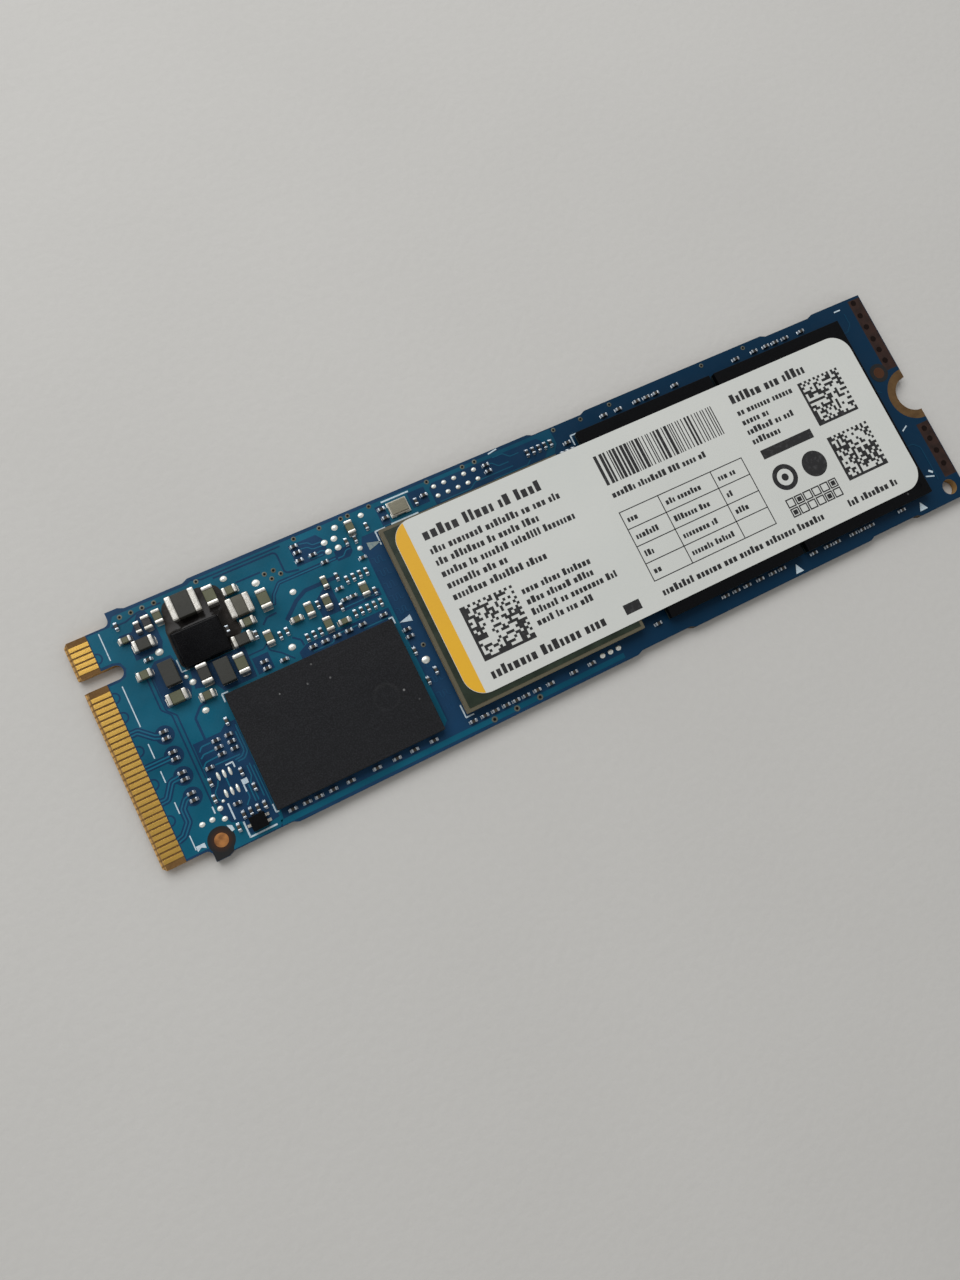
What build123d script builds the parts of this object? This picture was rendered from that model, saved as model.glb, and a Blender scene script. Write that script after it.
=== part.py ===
from build123d import *
import os

# Solid-state drive card with an edge connector at one end and a screw notch at the other.
# X runs along the card from the connector, Y across it, Z up from the bare underside.
# Places along the card are measured from the connector edge, places across it from the middle.

# Bare board
board_thickness = 0.8
tab_length = 3.95
shoulder_depth = 1.075
shoulder_radius = 0.5
tab_corner = 0.3
mask_start = 1.9
bevel_length = 0.3
bevel_drop = 0.16
key_offset = 6.125
key_width = 1.2
key_depth = 3.5
recess_depth = 0.22
recess_slope = 0.5
recess_length = 6.0
recess_after_shoulder = 1.05
recess_before_controller_end = 1.3
recess_before_flash_end = 7.45
notch_radius = 1.75
tooling_hole_radius = 0.75
tooling_hole_from_end = 1.5
tooling_hole_from_edge = 1.3

# Plated copper on the board
contact_thickness = 0.04
contact_pitch = 0.5
contact_width = 0.36
contact_margin = 0.5
key_keep_out = 1.0
pad_inlay = 0.04
screw_pad_width = 0.85
strip_width = 1.35
strip_end_gap = 0.06
strip_edge_gap = 0.25
strip_notch_gap = 0.4
tooling_hole_gap = 0.25
fiducial_radius = 0.55
fiducial_sides = 16
fiducial_after_shoulder = 1.0
fiducial_from_edge = 1.4
fiducial_after_flash = 1.95
fiducial_above_pad = 0.5

# Packages along the card, from the shoulder to the far end
side_parts_length = 5.88
dram_length = 14.9
dram_to_controller = 2.27
controller_length = 17.3
controller_to_flash = 2.65
flash_length = 14.2
flash_gap = 0.5
flash_to_end = 4.15

# Packages across the card, from the lower long edge to the upper one
dram_lower_gap = 1.525
dram_depth = 10.23
power_section_depth = 10.245
controller_lower_gap = 1.85
controller_upper_gap = 2.9
flash_lower_gap = 1.6
flash_upper_gap = 1.8

# Ball grid packages, from the board up
ball_height = 0.2
ball_radius = 0.2
ball_pitch = 2.4
ball_row_inset = 0.75
substrate_thickness = 0.2
dram_mould_height = 0.55
flash_mould_height = 0.6
cover_inset = 0.28
cover_thickness = 0.03
pin_mark_radius = 0.3
pin_mark_depth = 0.03
pin_mark_inset = 1.0
pin_mark_sides = 12

# Paper label over the controller and the flash chips
label_thickness = 0.08
label_radius = 1.9
label_left_gap = 0.8
label_right_gap = 0.3
label_upper_gap = 0.15
label_lower_gap = 0.78

# Two-terminal chip parts in four sizes
large_chip_length = 1.7
large_chip_width = 0.95
large_chip_height = 0.8
large_chip_cap = 0.36
medium_chip_length = 1.2
medium_chip_width = 0.7
medium_chip_height = 0.6
medium_chip_cap = 0.3
small_chip_length = 1.0
small_chip_width = 0.5
small_chip_height = 0.5
small_chip_cap = 0.26
tiny_chip_length = 0.6
tiny_chip_width = 0.3
tiny_chip_height = 0.3
tiny_chip_cap = 0.17
cap_proud = 0.02
body_lift = 0.03

# Rows of bypass parts along the long edges
bypass_row_from_edge = 1.1
flash_upper_row = 0.65
flash_lower_row = 0.33

# Power section
large_inductor_length = 2.5
large_inductor_depth = 2.1
large_inductor_height = 1.0
medium_inductor_length = 2.0
medium_inductor_depth = 1.7
medium_inductor_height = 0.95
inductor_terminal = 0.55
inductor_terminal_proud = 0.03
moulded_inductor_width = 1.25
moulded_inductor_depth = 2.05
moulded_inductor_height = 0.95
moulded_pad_depth = 0.55
moulded_pad_height = 0.06
power_chip_length = 4.0
power_chip_depth = 3.1
power_chip_height = 0.6
underfill_floor = 0.12
underfill_height = 0.42
underfill_taper = 25
underfill_left = 0.35
underfill_right = 0.85
underfill_upper = 0.7
underfill_lower = 0.08
underfill_step = 1.0

# Small leaded chip, and the six pads of one that isn't fitted
sensor_length = 1.3
sensor_depth = 1.2
sensor_height = 0.6
lead_width = 0.24
lead_length = 0.28
lead_thickness = 0.14
lead_pitch = 0.5
spare_pad_width = 0.28
spare_pad_length = 0.75
spare_pad_spacing = 1.52

# Clock crystal
crystal_length = 1.75
crystal_depth = 1.3
crystal_base_height = 0.35
crystal_lid_inset = 0.1
crystal_lid_height = 0.12

# Solder on test pads
dome_height = 0.12
dome_taper = 38
dome_sides = 6
ball_sides = 6

# Direction of a chip part's long side: along the card or across it
ALONG = 0
ACROSS = 90

# Sums that place the packages
shoulder = tab_length
dram_left = shoulder + side_parts_length
dram_right = dram_left + dram_length
controller_left = dram_right + dram_to_controller
controller_right = controller_left + controller_length
flash_left = controller_right + controller_to_flash
flash_right = flash_left + 2 * flash_length + flash_gap
board_length = flash_right + flash_to_end
board_width = dram_lower_gap + dram_depth + power_section_depth
upper_edge = board_width / 2
lower_edge = -board_width / 2
tab_half = upper_edge - shoulder_depth
dram_lower = lower_edge + dram_lower_gap
dram_upper = dram_lower + dram_depth
controller_lower = lower_edge + controller_lower_gap
controller_upper = upper_edge - controller_upper_gap
flash_lower = lower_edge + flash_lower_gap
flash_upper = upper_edge - flash_upper_gap
board_top = board_thickness
package_top = board_top + ball_height + substrate_thickness + flash_mould_height
screw_pad_radius = notch_radius + screw_pad_width

LARGE = (large_chip_length, large_chip_width, large_chip_height, large_chip_cap)
MEDIUM = (medium_chip_length, medium_chip_width, medium_chip_height, medium_chip_cap)
SMALL = (small_chip_length, small_chip_width, small_chip_height, small_chip_cap)
TINY = (tiny_chip_length, tiny_chip_width, tiny_chip_height, tiny_chip_cap)

to_part_frame = Pos(-board_length / 2, 0, 0)
nodes = {}


def keep(name, solids):
    """Store one named piece, or a group of like pieces, in the card's own frame."""
    nodes[name] = [to_part_frame * solid for solid in solids]


def block(x_range, y_range, z_range):
    """Box between two places on each axis."""
    size = [high - low for low, high in (x_range, y_range, z_range)]
    middle = [(high + low) / 2 for low, high in (x_range, y_range, z_range)]
    return Pos(*middle) * Box(*size)


def around(middle, size):
    """The two ends of a stretch of a given size."""
    return (middle - size / 2, middle + size / 2)


def row(start, step, count, across, turn):
    """Places of like chip parts in a line along the card."""
    return [(start + step * i, across, turn) for i in range(count)]


def moved(places, x, y):
    """Places measured from a corner of the card's layout."""
    return [(x + place[0], y + place[1], *place[2:]) for place in places]


def rectangle(x_range, y_range):
    """Flat face between two places along and across the card."""
    width, depth = x_range[1] - x_range[0], y_range[1] - y_range[0]
    return Pos(sum(x_range) / 2, sum(y_range) / 2) * Rectangle(width, depth)


def edge_recess(start, edge, inward):
    """Shallow break-off recess in a long edge, with sloped ends."""
    floor = edge + inward * recess_depth
    outside = edge - inward * recess_depth
    return Polygon(
        (start - recess_slope, outside),
        (start, edge),
        (start + recess_slope, floor),
        (start + recess_length - recess_slope, floor),
        (start + recess_length, edge),
        (start + recess_length + recess_slope, outside),
        align=None,
    )


def card_outline():
    """Board seen from above: tab with key slot, shoulders, recesses, notch and tooling hole."""
    tab = rectangle((0, tab_length + shoulder_radius), (-tab_half, tab_half))
    tab = chamfer(tab.vertices().group_by(Axis.X)[0], tab_corner)
    card = tab + rectangle((tab_length, board_length), (lower_edge, upper_edge))
    inner = [v for v in card.vertices() if abs(v.X - tab_length) < 0.01 and abs(abs(v.Y) - tab_half) < 0.01]
    card = fillet(inner, shoulder_radius)
    slot_end = key_depth - key_width / 2
    card -= rectangle((-key_width, slot_end), around(key_offset, key_width))
    card -= Pos(slot_end, key_offset) * Circle(key_width / 2)
    for start in recess_starts:
        card -= edge_recess(start, upper_edge, -1)
        card -= edge_recess(start, lower_edge, 1)
    card -= Pos(board_length, 0) * Circle(notch_radius)
    card -= Pos(*tooling_hole) * Circle(tooling_hole_radius)
    return card


def card_side():
    """Board seen from the side: full thickness behind the mask, thinner and bevelled in front."""
    low, high = contact_thickness, board_top - contact_thickness
    return Plane.XZ * Polygon(
        (0, low + bevel_drop),
        (bevel_length, low),
        (mask_start, low),
        (mask_start, 0),
        (board_length, 0),
        (board_length, board_top),
        (mask_start, board_top),
        (mask_start, high),
        (bevel_length, high),
        (0, high - bevel_drop),
        align=None,
    )


def contacts(first_offset, z_range):
    """Gold fingers on one face of the tab, leaving the key slot free."""
    reach = tab_half - contact_margin
    count = int((reach - first_offset) // contact_pitch) + 1
    steps = range(-count - 1, count + 1)
    places = [first_offset + contact_pitch * i for i in steps]
    fingers = []
    for y in places:
        if abs(y) <= reach and abs(y - key_offset) > key_keep_out:
            fingers.append(block((bevel_length, mask_start), around(y, contact_width), z_range))
    return fingers


def screw_pad(z_low):
    """Half-ring pad round the screw notch."""
    ring = Pos(board_length, 0) * (Circle(screw_pad_radius) - Circle(notch_radius))
    on_board = rectangle((board_length - 2 * screw_pad_radius, board_length), around(0, 4 * screw_pad_radius))
    half = ring & on_board
    return Pos(0, 0, z_low) * extrude(half, pad_inlay)


def chip(x, y, turn, size):
    """Two-terminal part: a body between two end caps that stand a little proud of it."""
    length, width, height, cap = size
    place = Pos(x, y, board_top) * Rot(0, 0, turn)
    body_width = width - 2 * cap_proud
    body = block(around(0, length - 2 * cap), around(0, body_width), (body_lift, height - cap_proud))
    ends = [block(around(side * (length - cap) / 2, cap), around(0, width), (0, height)) for side in (-1, 1)]
    return place * body, [place * end for end in ends]


def chip_group(body_name, places, size, terminals):
    """Bodies of like parts as one group; their end caps join the caps of that size."""
    bodies = []
    for x, y, turn in places:
        body, ends = chip(x, y, turn, size)
        bodies.append(body)
        terminals.extend(ends)
    keep(body_name, bodies)


def ball_row(x_range, y_range):
    """Outer row of solder balls under a package."""
    (left, right), (low, high) = x_range, y_range
    left, right = left + ball_row_inset, right - ball_row_inset
    low, high = low + ball_row_inset, high - ball_row_inset
    nx = max(2, round((right - left) / ball_pitch) + 1)
    ny = max(2, round((high - low) / ball_pitch) + 1)
    ball = Pos(0, 0, board_top) * extrude(RegularPolygon(ball_radius, ball_sides), ball_height)
    balls = []
    for i in range(nx):
        for j in range(ny):
            if i in (0, nx - 1) or j in (0, ny - 1):
                x = left + (right - left) * i / (nx - 1)
                y = low + (high - low) * j / (ny - 1)
                balls.append(Pos(x, y, 0) * ball)
    return balls


def moulded_package(name, x_range, y_range, mould_height, mark_y):
    """Black moulded chip on its substrate, standing on solder balls, with a dimple at its first pin."""
    floor = board_top + ball_height
    deck = floor + substrate_thickness
    roof = deck + mould_height
    pin_mark = extrude(RegularPolygon(pin_mark_radius, pin_mark_sides), pin_mark_depth)
    pin_place = Pos(x_range[1] - pin_mark_inset, mark_y, roof - pin_mark_depth)
    keep(name + "_mould", [block(x_range, y_range, (deck, roof)) - pin_place * pin_mark])
    keep(name + "_substrate", [block(x_range, y_range, (floor, deck))])
    keep(name + "_solder_balls", ball_row(x_range, y_range))


def capped_inductor(name, x, y, length, depth, height):
    """Power inductor: dark core between two wide plated ends."""
    core_length = length - 2 * inductor_terminal
    core_depth = depth - 2 * inductor_terminal_proud
    core_top = height - inductor_terminal_proud
    place = Pos(x, y, board_top)
    core = block(around(0, core_length), around(0, core_depth), (body_lift, core_top))
    reach = (length - inductor_terminal) / 2
    ends = [block(around(side * reach, inductor_terminal), around(0, depth), (0, height)) for side in (-1, 1)]
    keep(name + "_core", [place * core])
    keep(name + "_terminals", [place * end for end in ends])


def leads(x, y, half_depth, offsets, turn):
    """Flat leads down both long sides of a small chip."""
    place = Pos(x, y, board_top) * Rot(0, 0, turn)
    feet = []
    for side, along in offsets:
        reach = (half_depth, half_depth + lead_length)
        y_range = reach if side > 0 else (-reach[1], -reach[0])
        feet.append(place * block(around(along, lead_width), y_range, (0, lead_thickness)))
    return feet


def solder_mound(x, y, width, length):
    """Long mound of solder across the card on one bare pad."""
    half_width, half_length = width / 2, length / 2
    neck = half_length - half_width
    outline = Polygon(
        (-half_width, -neck),
        (0, -half_length),
        (half_width, -neck),
        (half_width, neck),
        (0, half_length),
        (-half_width, neck),
        align=None,
    )
    return Pos(x, y, board_top) * extrude(outline, dome_height, taper=dome_taper)


def domes(places):
    """Domes of solder on bare test pads."""
    solids = []
    for x, y, radius in places:
        dome = extrude(RegularPolygon(radius, dome_sides), dome_height, taper=dome_taper)
        solids.append(Pos(x, y, board_top) * dome)
    return solids


# Bare board with its inlaid copper
tooling_hole = (board_length - tooling_hole_from_end, lower_edge + tooling_hole_from_edge)
recess_starts = (
    shoulder + recess_after_shoulder,
    controller_right - recess_before_controller_end,
    flash_right - recess_before_flash_end,
)
strip_x = (board_length - strip_end_gap - strip_width, board_length - strip_end_gap)
strip_start = screw_pad_radius + strip_notch_gap
hole_clear = tooling_hole[1] + tooling_hole_radius + tooling_hole_gap
inlay_z = (board_top - pad_inlay, board_top)
ground_strips = [
    block(strip_x, (strip_start, upper_edge - strip_edge_gap), inlay_z),
    block(strip_x, (hole_clear, -strip_start), inlay_z),
]
fiducial_places = [
    (shoulder + fiducial_after_shoulder, lower_edge + fiducial_from_edge),
    (flash_right + fiducial_after_flash, screw_pad_radius + fiducial_above_pad),
]
fiducials = [
    Pos(x, y, board_top - pad_inlay) * extrude(RegularPolygon(fiducial_radius, fiducial_sides), pad_inlay)
    for x, y in fiducial_places
]
pad_upper = screw_pad(board_top - pad_inlay)
pad_lower = screw_pad(0)
board = extrude(card_outline(), board_top) & extrude(card_side(), board_width, both=True)
for inlay in ground_strips + fiducials + [pad_upper, pad_lower]:
    board -= inlay
keep("circuit_board", board.solids())
keep("ground_strips", ground_strips)
keep("fiducial_discs", fiducials)
keep("screw_pad_upper", [pad_upper])
keep("screw_pad_lower", [pad_lower])
keep("upper_contacts", contacts(contact_pitch / 2, (board_top - contact_thickness, board_top)))
keep("lower_contacts", contacts(0, (0, contact_thickness)))

# Ball grid packages
flash_split = flash_left + flash_length
dram_x, dram_y = (dram_left, dram_right), (dram_lower, dram_upper)
flash_y = (flash_lower, flash_upper)
flash_1_x, flash_2_x = (flash_left, flash_split), (flash_split + flash_gap, flash_right)
moulded_package("dram", dram_x, dram_y, dram_mould_height, dram_upper - pin_mark_inset)
moulded_package("flash_1", flash_1_x, flash_y, flash_mould_height, flash_lower + pin_mark_inset)
moulded_package("flash_2", flash_2_x, flash_y, flash_mould_height, flash_lower + pin_mark_inset)
controller_x = (controller_left, controller_right)
controller_y = (controller_lower, controller_upper)
cover_x = (controller_left + cover_inset, controller_right - cover_inset)
cover_y = (controller_lower + cover_inset, controller_upper - cover_inset)
cover_floor = package_top - cover_thickness
keep("controller_laminate", [block(controller_x, controller_y, (board_top + ball_height, cover_floor))])
keep("controller_cover", [block(cover_x, cover_y, (cover_floor, package_top))])
keep("controller_solder_balls", ball_row(controller_x, controller_y))

# Label lying flat on the controller and both flash chips
label_x = (controller_left + label_left_gap, flash_right - label_right_gap)
label_y = (controller_lower + label_lower_gap, controller_upper - label_upper_gap)
label_face = RectangleRounded(label_x[1] - label_x[0], label_y[1] - label_y[0], label_radius)
keep("label", [Pos(sum(label_x) / 2, sum(label_y) / 2, package_top) * extrude(label_face, label_thickness)])

# Power section, measured from the shoulder and the memory chip's upper edge
power = (shoulder, dram_upper)
large_inductor = (power[0] + 5.94, power[1] + 8.19)
large_inductor_size = (large_inductor_length, large_inductor_depth, large_inductor_height)
medium_inductor = (power[0] + 9.99, power[1] + 6.25)
medium_inductor_size = (medium_inductor_length, medium_inductor_depth, medium_inductor_height)
power_chip = (power[0] + 6.02, power[1] + 4.81)
capped_inductor("large_inductor", *large_inductor, *large_inductor_size)
capped_inductor("medium_inductor", *medium_inductor, *medium_inductor_size)
moulded_inductors = []
moulded_pads = []
for x, y in moved([(2.73, 3.48), (6.73, 1.8)], *power):
    width = around(x, moulded_inductor_width)
    body_z = (board_top + moulded_pad_height, board_top + moulded_inductor_height)
    moulded_inductors.append(block(width, around(y, moulded_inductor_depth), body_z))
    for side in (-1, 1):
        pad_y = y + side * (moulded_inductor_depth - moulded_pad_depth) / 2
        pad_z = (board_top, board_top + moulded_pad_height)
        moulded_pads.append(block(width, around(pad_y, moulded_pad_depth), pad_z))
keep("moulded_inductors", moulded_inductors)
keep("moulded_inductor_pads", moulded_pads)

large_capacitors = [(8.16, 8.03, ACROSS), (2.51, 1.45, ALONG), (8.16, 1.8, ACROSS), (11.97, 6.0, ACROSS)]
large_ferrites = [(9.05, 3.62, ALONG), (1.85, 6.54, ALONG), (5.18, 2.28, ACROSS)]
medium_capacitors = [
    (9.75, 7.83, ALONG),
    (10.0, 4.81, ALONG),
    (3.69, 8.19, ACROSS),
    (0.91, 4.21, ALONG),
    (4.68, 0.6, ALONG),
    (11.03, 2.87, ACROSS),
    (15.0, 3.67, ACROSS),
    (16.59, 3.67, ACROSS),
    (15.9, 1.88, ACROSS),
    (19.87, 3.37, ACROSS),
    (21.05, 8.73, ACROSS),
]
medium_resistors = [(2.75, 8.08, ACROSS)]
small_capacitors = [(17.1, 5.28, ACROSS), (13.72, 3.34, ALONG), (17.2, 1.55, ALONG), (0.65, 7.46, ALONG)]
small_resistors = [(1.94, 8.01, ACROSS)]
bypass_capacitor = (8.3, 4.97, ACROSS)
power_tiny_capacitors = [
    bypass_capacitor,
    (0.43, 8.81, ACROSS),
    (1.63, 5.27, ALONG),
    (10.2, 3.58, ACROSS),
    (18.25, 5.32, ACROSS),
    (18.02, 4.28, ALONG),
    *row(18.91, 0.6, 4, 4.72, ACROSS),
    (15.82, 3.78, ACROSS),
    *row(18.05, 0.75, 2, 3.23, ALONG),
    (17.52, 2.78, ACROSS),
    (20.65, 2.88, ACROSS),
    (11.94, 2.68, ACROSS),
    (12.58, 2.78, ACROSS),
    *row(18.32, 0.59, 5, 1.79, ACROSS),
    (9.85, 1.24, ALONG),
    (9.85, 0.64, ALONG),
    (11.4, 0.7, ALONG),
    *row(13.98, 1.08, 4, 0.7, ALONG),
    (18.46, 0.7, ALONG),
    (20.41, 0.7, ALONG),
    (22.4, 8.31, ACROSS),
    (21.05, 7.66, ACROSS),
    (20.26, 7.74, ACROSS),
    (20.95, 5.92, ALONG),
]
power_tiny_resistors = [
    *row(13.88, 0.6, 3, 1.59, ACROSS),
    (16.07, 9.16, ALONG),
    (16.12, 8.56, ALONG),
    *row(16.02, 1.2, 2, 7.86, ALONG),
    (17.87, 6.87, ALONG),
]
power_domes = [
    (2.65, 5.5, 0.35),
    (4.05, 2.14, 0.3),
    (3.75, 2.74, 0.2),
    (4.05, -0.4, 0.3),
    (9.7, 9.0, 0.3),
    (11.95, 7.6, 0.35),
    (14.4, 5.64, 0.3),
    (12.4, 1.4, 0.33),
    (19.9, 9.3, 0.3),
    (22.4, 9.4, 0.27),
    (21.1, 6.8, 0.25),
    *[(18.55 + 0.9 * i, 7.6 + 0.85 * j, 0.3) for i in range(2) for j in range(2)],
]

# Parts beside the connector, measured from the shoulder and the memory chip's lower edge
side = (shoulder, dram_lower)
side_tiny_capacitors = [
    *[(0.38, 3.95 + 1.8 * i + half, ALONG) for i in range(4) for half in (-0.29, 0.29)],
    (5.16, 8.29, ACROSS),
    (2.07, 4.35, ACROSS),
    (4.57, 4.1, ACROSS),
    (1.83, 3.05, ACROSS),
    (5.01, 2.55, ACROSS),
    *row(3.37, 0.6, 4, 0.9, ACROSS),
    (2.62, 0.16, ACROSS),
]
side_tiny_resistors = [
    *[(3.77 + 1.1 * i, 6.04 + 0.6 * j, ALONG) for i in range(2) for j in range(3)],
    (2.47, 5.44, ALONG),
    (3.27, 1.95, ALONG),
]
side_domes = [(0.15, 1.62, 0.25), (1.0, 1.62, 0.25), (1.9, 2.17, 0.25), (1.9, 1.27, 0.25), (2.35, 2.6, 0.15)]
spare_chip = (side[0] + 3.29, side[1] + 3.79)
sensor = (side[0] + 4.2, side[1] - 0.1)

# Parts between the memory chip and the controller, measured from the memory chip's lower right corner
gap = (dram_right, dram_lower)
gap_tiny_capacitors = [(0.67, 7.04, ACROSS), (1.57, 4.8, ACROSS), (0.62, 4.3, ACROSS)]
gap_tiny_resistors = [(0.87, 8.98, ALONG), (0.87, 8.33, ALONG)]
gap_domes = [(1.2, 5.98, 0.38)]

# Parts above the controller, measured from its upper left corner, and right of it, from its upper right one
above = (controller_left, controller_upper)
crystal = (above[0] + 2.6, above[1] + 1.4)
above_tiny_capacitors = [(1.17, 1.82, ALONG), (1.17, 0.98, ALONG), (4.2, 1.25, ACROSS), (5.08, 1.5, ALONG)]
above_domes = [(6.25 + 0.98 * i, y, 0.23) for i in range(5) for y in (0.98, 1.88)]
beyond = (controller_right, controller_upper)
beyond_tiny_capacitors = [*row(0.95, 0.53, 3, -0.15, ACROSS), (1.8, 0.75, ALONG)]
beyond_tiny_resistors = [(-6.0, 1.2, ALONG), (-6.0, 1.8, ALONG), *row(-2.05, 0.6, 5, 1.32, ACROSS)]

# Bypass parts along both long edges, measured from the chips' left ends
lower_row = lower_edge + bypass_row_from_edge
below_dram = (dram_left, lower_row)
below_dram_capacitors = [(x, 0, ALONG) for x in (1.1, 2.35, 3.4, 4.65, 6.2, 8.55, 10.35, 11.95, 13.75)]
below_controller = (controller_left, lower_row)
below_controller_places = (0.25, 1.35, 2.35, 3.4, 4.35, 5.3, 6.4, 7.7, 10.0, 11.8)
below_controller_capacitors = [(x, 0, ALONG) for x in below_controller_places]
below_domes = [(13.0 + 0.8 * i, 0.2, 0.26) for i in range(3)]
below_flash = (flash_left, flash_lower - flash_lower_row)
below_flash_places = (5.85, 7.0, 8.2, 9.6, 10.95, 12.0, 15.55, 17.15, 18.15, 20.05, 21.05, 22.05, 25.7)
below_flash_capacitors = [(-1.05, 0.43, ALONG), *[(x, 0, ALONG) for x in below_flash_places]]
above_flash = (flash_left, flash_upper + flash_upper_row)
above_flash_places = (3.5, 5.05, 7.0, 8.05, 9.05, 11.15, 17.95, 20.05, 21.4, 22.45, 23.6, 25.45)
above_flash_capacitors = [(x, 0, ALONG) for x in above_flash_places]

# Chip parts by size, each size with its own end caps
large_caps, medium_caps, small_caps, tiny_caps = [], [], [], []
chip_group("large_capacitor_bodies", moved(large_capacitors, *power), LARGE, large_caps)
chip_group("large_ferrite_bodies", moved(large_ferrites, *power), LARGE, large_caps)
chip_group("medium_capacitor_bodies", moved(medium_capacitors, *power), MEDIUM, medium_caps)
chip_group("medium_resistor_body", moved(medium_resistors, *power), MEDIUM, medium_caps)
chip_group("small_capacitor_bodies", moved(small_capacitors, *power), SMALL, small_caps)
chip_group("small_resistor_body", moved(small_resistors, *power), SMALL, small_caps)
tiny_capacitors = (
    moved(power_tiny_capacitors, *power)
    + moved(side_tiny_capacitors, *side)
    + moved(gap_tiny_capacitors, *gap)
    + moved(above_tiny_capacitors, *above)
    + moved(beyond_tiny_capacitors, *beyond)
    + moved(below_dram_capacitors, *below_dram)
    + moved(below_controller_capacitors, *below_controller)
    + moved(below_flash_capacitors, *below_flash)
    + moved(above_flash_capacitors, *above_flash)
)
tiny_resistors = (
    moved(power_tiny_resistors, *power)
    + moved(side_tiny_resistors, *side)
    + moved(gap_tiny_resistors, *gap)
    + moved(beyond_tiny_resistors, *beyond)
)
chip_group("tiny_capacitor_bodies", tiny_capacitors, TINY, tiny_caps)
chip_group("tiny_resistor_bodies", tiny_resistors, TINY, tiny_caps)
keep("large_chip_terminals", large_caps)
keep("medium_chip_terminals", medium_caps)
keep("small_chip_terminals", small_caps)
keep("tiny_chip_terminals", tiny_caps)

# Power chip bedded in black epoxy that runs up to the parts beside it
chip_x = around(power_chip[0], power_chip_length)
chip_y = around(power_chip[1], power_chip_depth)
chip_z = (board_top + underfill_floor, board_top + underfill_floor + power_chip_height)
fill_left, fill_right = chip_x[0] - underfill_left, chip_x[1] + underfill_right
fill_lower, fill_upper = chip_y[0] - underfill_lower, chip_y[1] + underfill_upper
fill_waist = chip_x[1] + underfill_lower
underfill_outline = Polygon(
    (fill_left, fill_lower),
    (fill_waist, fill_lower),
    (fill_waist, fill_lower + underfill_step),
    (fill_right, fill_lower + underfill_step + underfill_left),
    (fill_right, fill_upper),
    (fill_left + underfill_left, fill_upper),
    (fill_left, fill_upper - underfill_left),
    align=None,
)
power_chip_body = block(chip_x, chip_y, chip_z)
bypass_x, bypass_y = power[0] + bypass_capacitor[0], power[1] + bypass_capacitor[1]
bypass_z = (board_top, chip_z[1])
bypass_space = block(around(bypass_x, tiny_chip_width), around(bypass_y, tiny_chip_length), bypass_z)
underfill = Pos(0, 0, board_top) * extrude(underfill_outline, underfill_height, taper=underfill_taper)
underfill = underfill - power_chip_body - bypass_space
keep("power_chip", [power_chip_body])
keep("power_chip_underfill", underfill.solids())

# Leaded chip, and solder on the pads of the one that isn't fitted
spare_pads = []
for row_side in (-1, 1):
    for step in (-1, 0, 1):
        pad_x = spare_chip[0] + step * lead_pitch
        pad_y = spare_chip[1] + row_side * spare_pad_spacing / 2
        spare_pads.append(solder_mound(pad_x, pad_y, spare_pad_width, spare_pad_length))
keep("spare_pad_solder", spare_pads)
sensor_feet = [(1, 0), (-1, -lead_pitch / 2), (-1, lead_pitch / 2)]
sensor_z = (board_top + body_lift, board_top + sensor_height)
keep("sensor_chip", [block(around(sensor[0], sensor_length), around(sensor[1], sensor_depth), sensor_z)])
keep("sensor_leads", leads(*sensor, sensor_length / 2, sensor_feet, ACROSS))

# Clock crystal
lid_x = around(crystal[0], crystal_length - 2 * crystal_lid_inset)
lid_y = around(crystal[1], crystal_depth - 2 * crystal_lid_inset)
base_top = board_top + crystal_base_height
crystal_x, crystal_y = around(crystal[0], crystal_length), around(crystal[1], crystal_depth)
keep("crystal_base", [block(crystal_x, crystal_y, (board_top, base_top))])
keep("crystal_lid", [block(lid_x, lid_y, (base_top, base_top + crystal_lid_height))])

# Solder on the test pads
all_domes = (
    moved(power_domes, *power)
    + moved(side_domes, *side)
    + moved(gap_domes, *gap)
    + moved(above_domes, *above)
    + moved(below_domes, *below_controller)
)
keep("test_pad_solder", domes(all_domes))

os.makedirs("parts", exist_ok=True)
for name, solids in nodes.items():
    piece = solids[0] if len(solids) == 1 else Compound(children=solids)
    export_step(piece, f"parts/{name}.step")
print(f"card {board_length:.2f} x {board_width:.2f} mm, {len(nodes)} pieces")
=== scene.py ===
import functools
import math
import random

import bmesh
import bpy
from mathutils import Matrix, Vector


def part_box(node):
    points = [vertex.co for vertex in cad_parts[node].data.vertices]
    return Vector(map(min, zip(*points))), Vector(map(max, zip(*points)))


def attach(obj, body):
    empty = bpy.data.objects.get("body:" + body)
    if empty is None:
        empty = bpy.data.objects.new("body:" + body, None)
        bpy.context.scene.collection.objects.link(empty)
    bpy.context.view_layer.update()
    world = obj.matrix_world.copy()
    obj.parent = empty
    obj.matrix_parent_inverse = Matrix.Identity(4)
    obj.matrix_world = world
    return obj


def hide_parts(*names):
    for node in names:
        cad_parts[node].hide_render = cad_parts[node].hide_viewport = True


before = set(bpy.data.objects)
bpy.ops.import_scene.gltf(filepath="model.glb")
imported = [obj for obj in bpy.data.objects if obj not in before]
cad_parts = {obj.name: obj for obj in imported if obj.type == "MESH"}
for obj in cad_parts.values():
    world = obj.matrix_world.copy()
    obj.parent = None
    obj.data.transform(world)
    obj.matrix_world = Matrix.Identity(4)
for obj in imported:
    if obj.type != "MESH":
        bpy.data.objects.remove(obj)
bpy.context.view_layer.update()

bl_info = {
    "name": "Drive card",
    "version": (1, 0, 0),
    "blender": (4, 5, 0),
    "location": "3D View > Sidebar > Drive card",
    "description": "Dresses a solid-state drive card: board, copper, chips, small parts, label and stage",
    "category": "Object",
}

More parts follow.
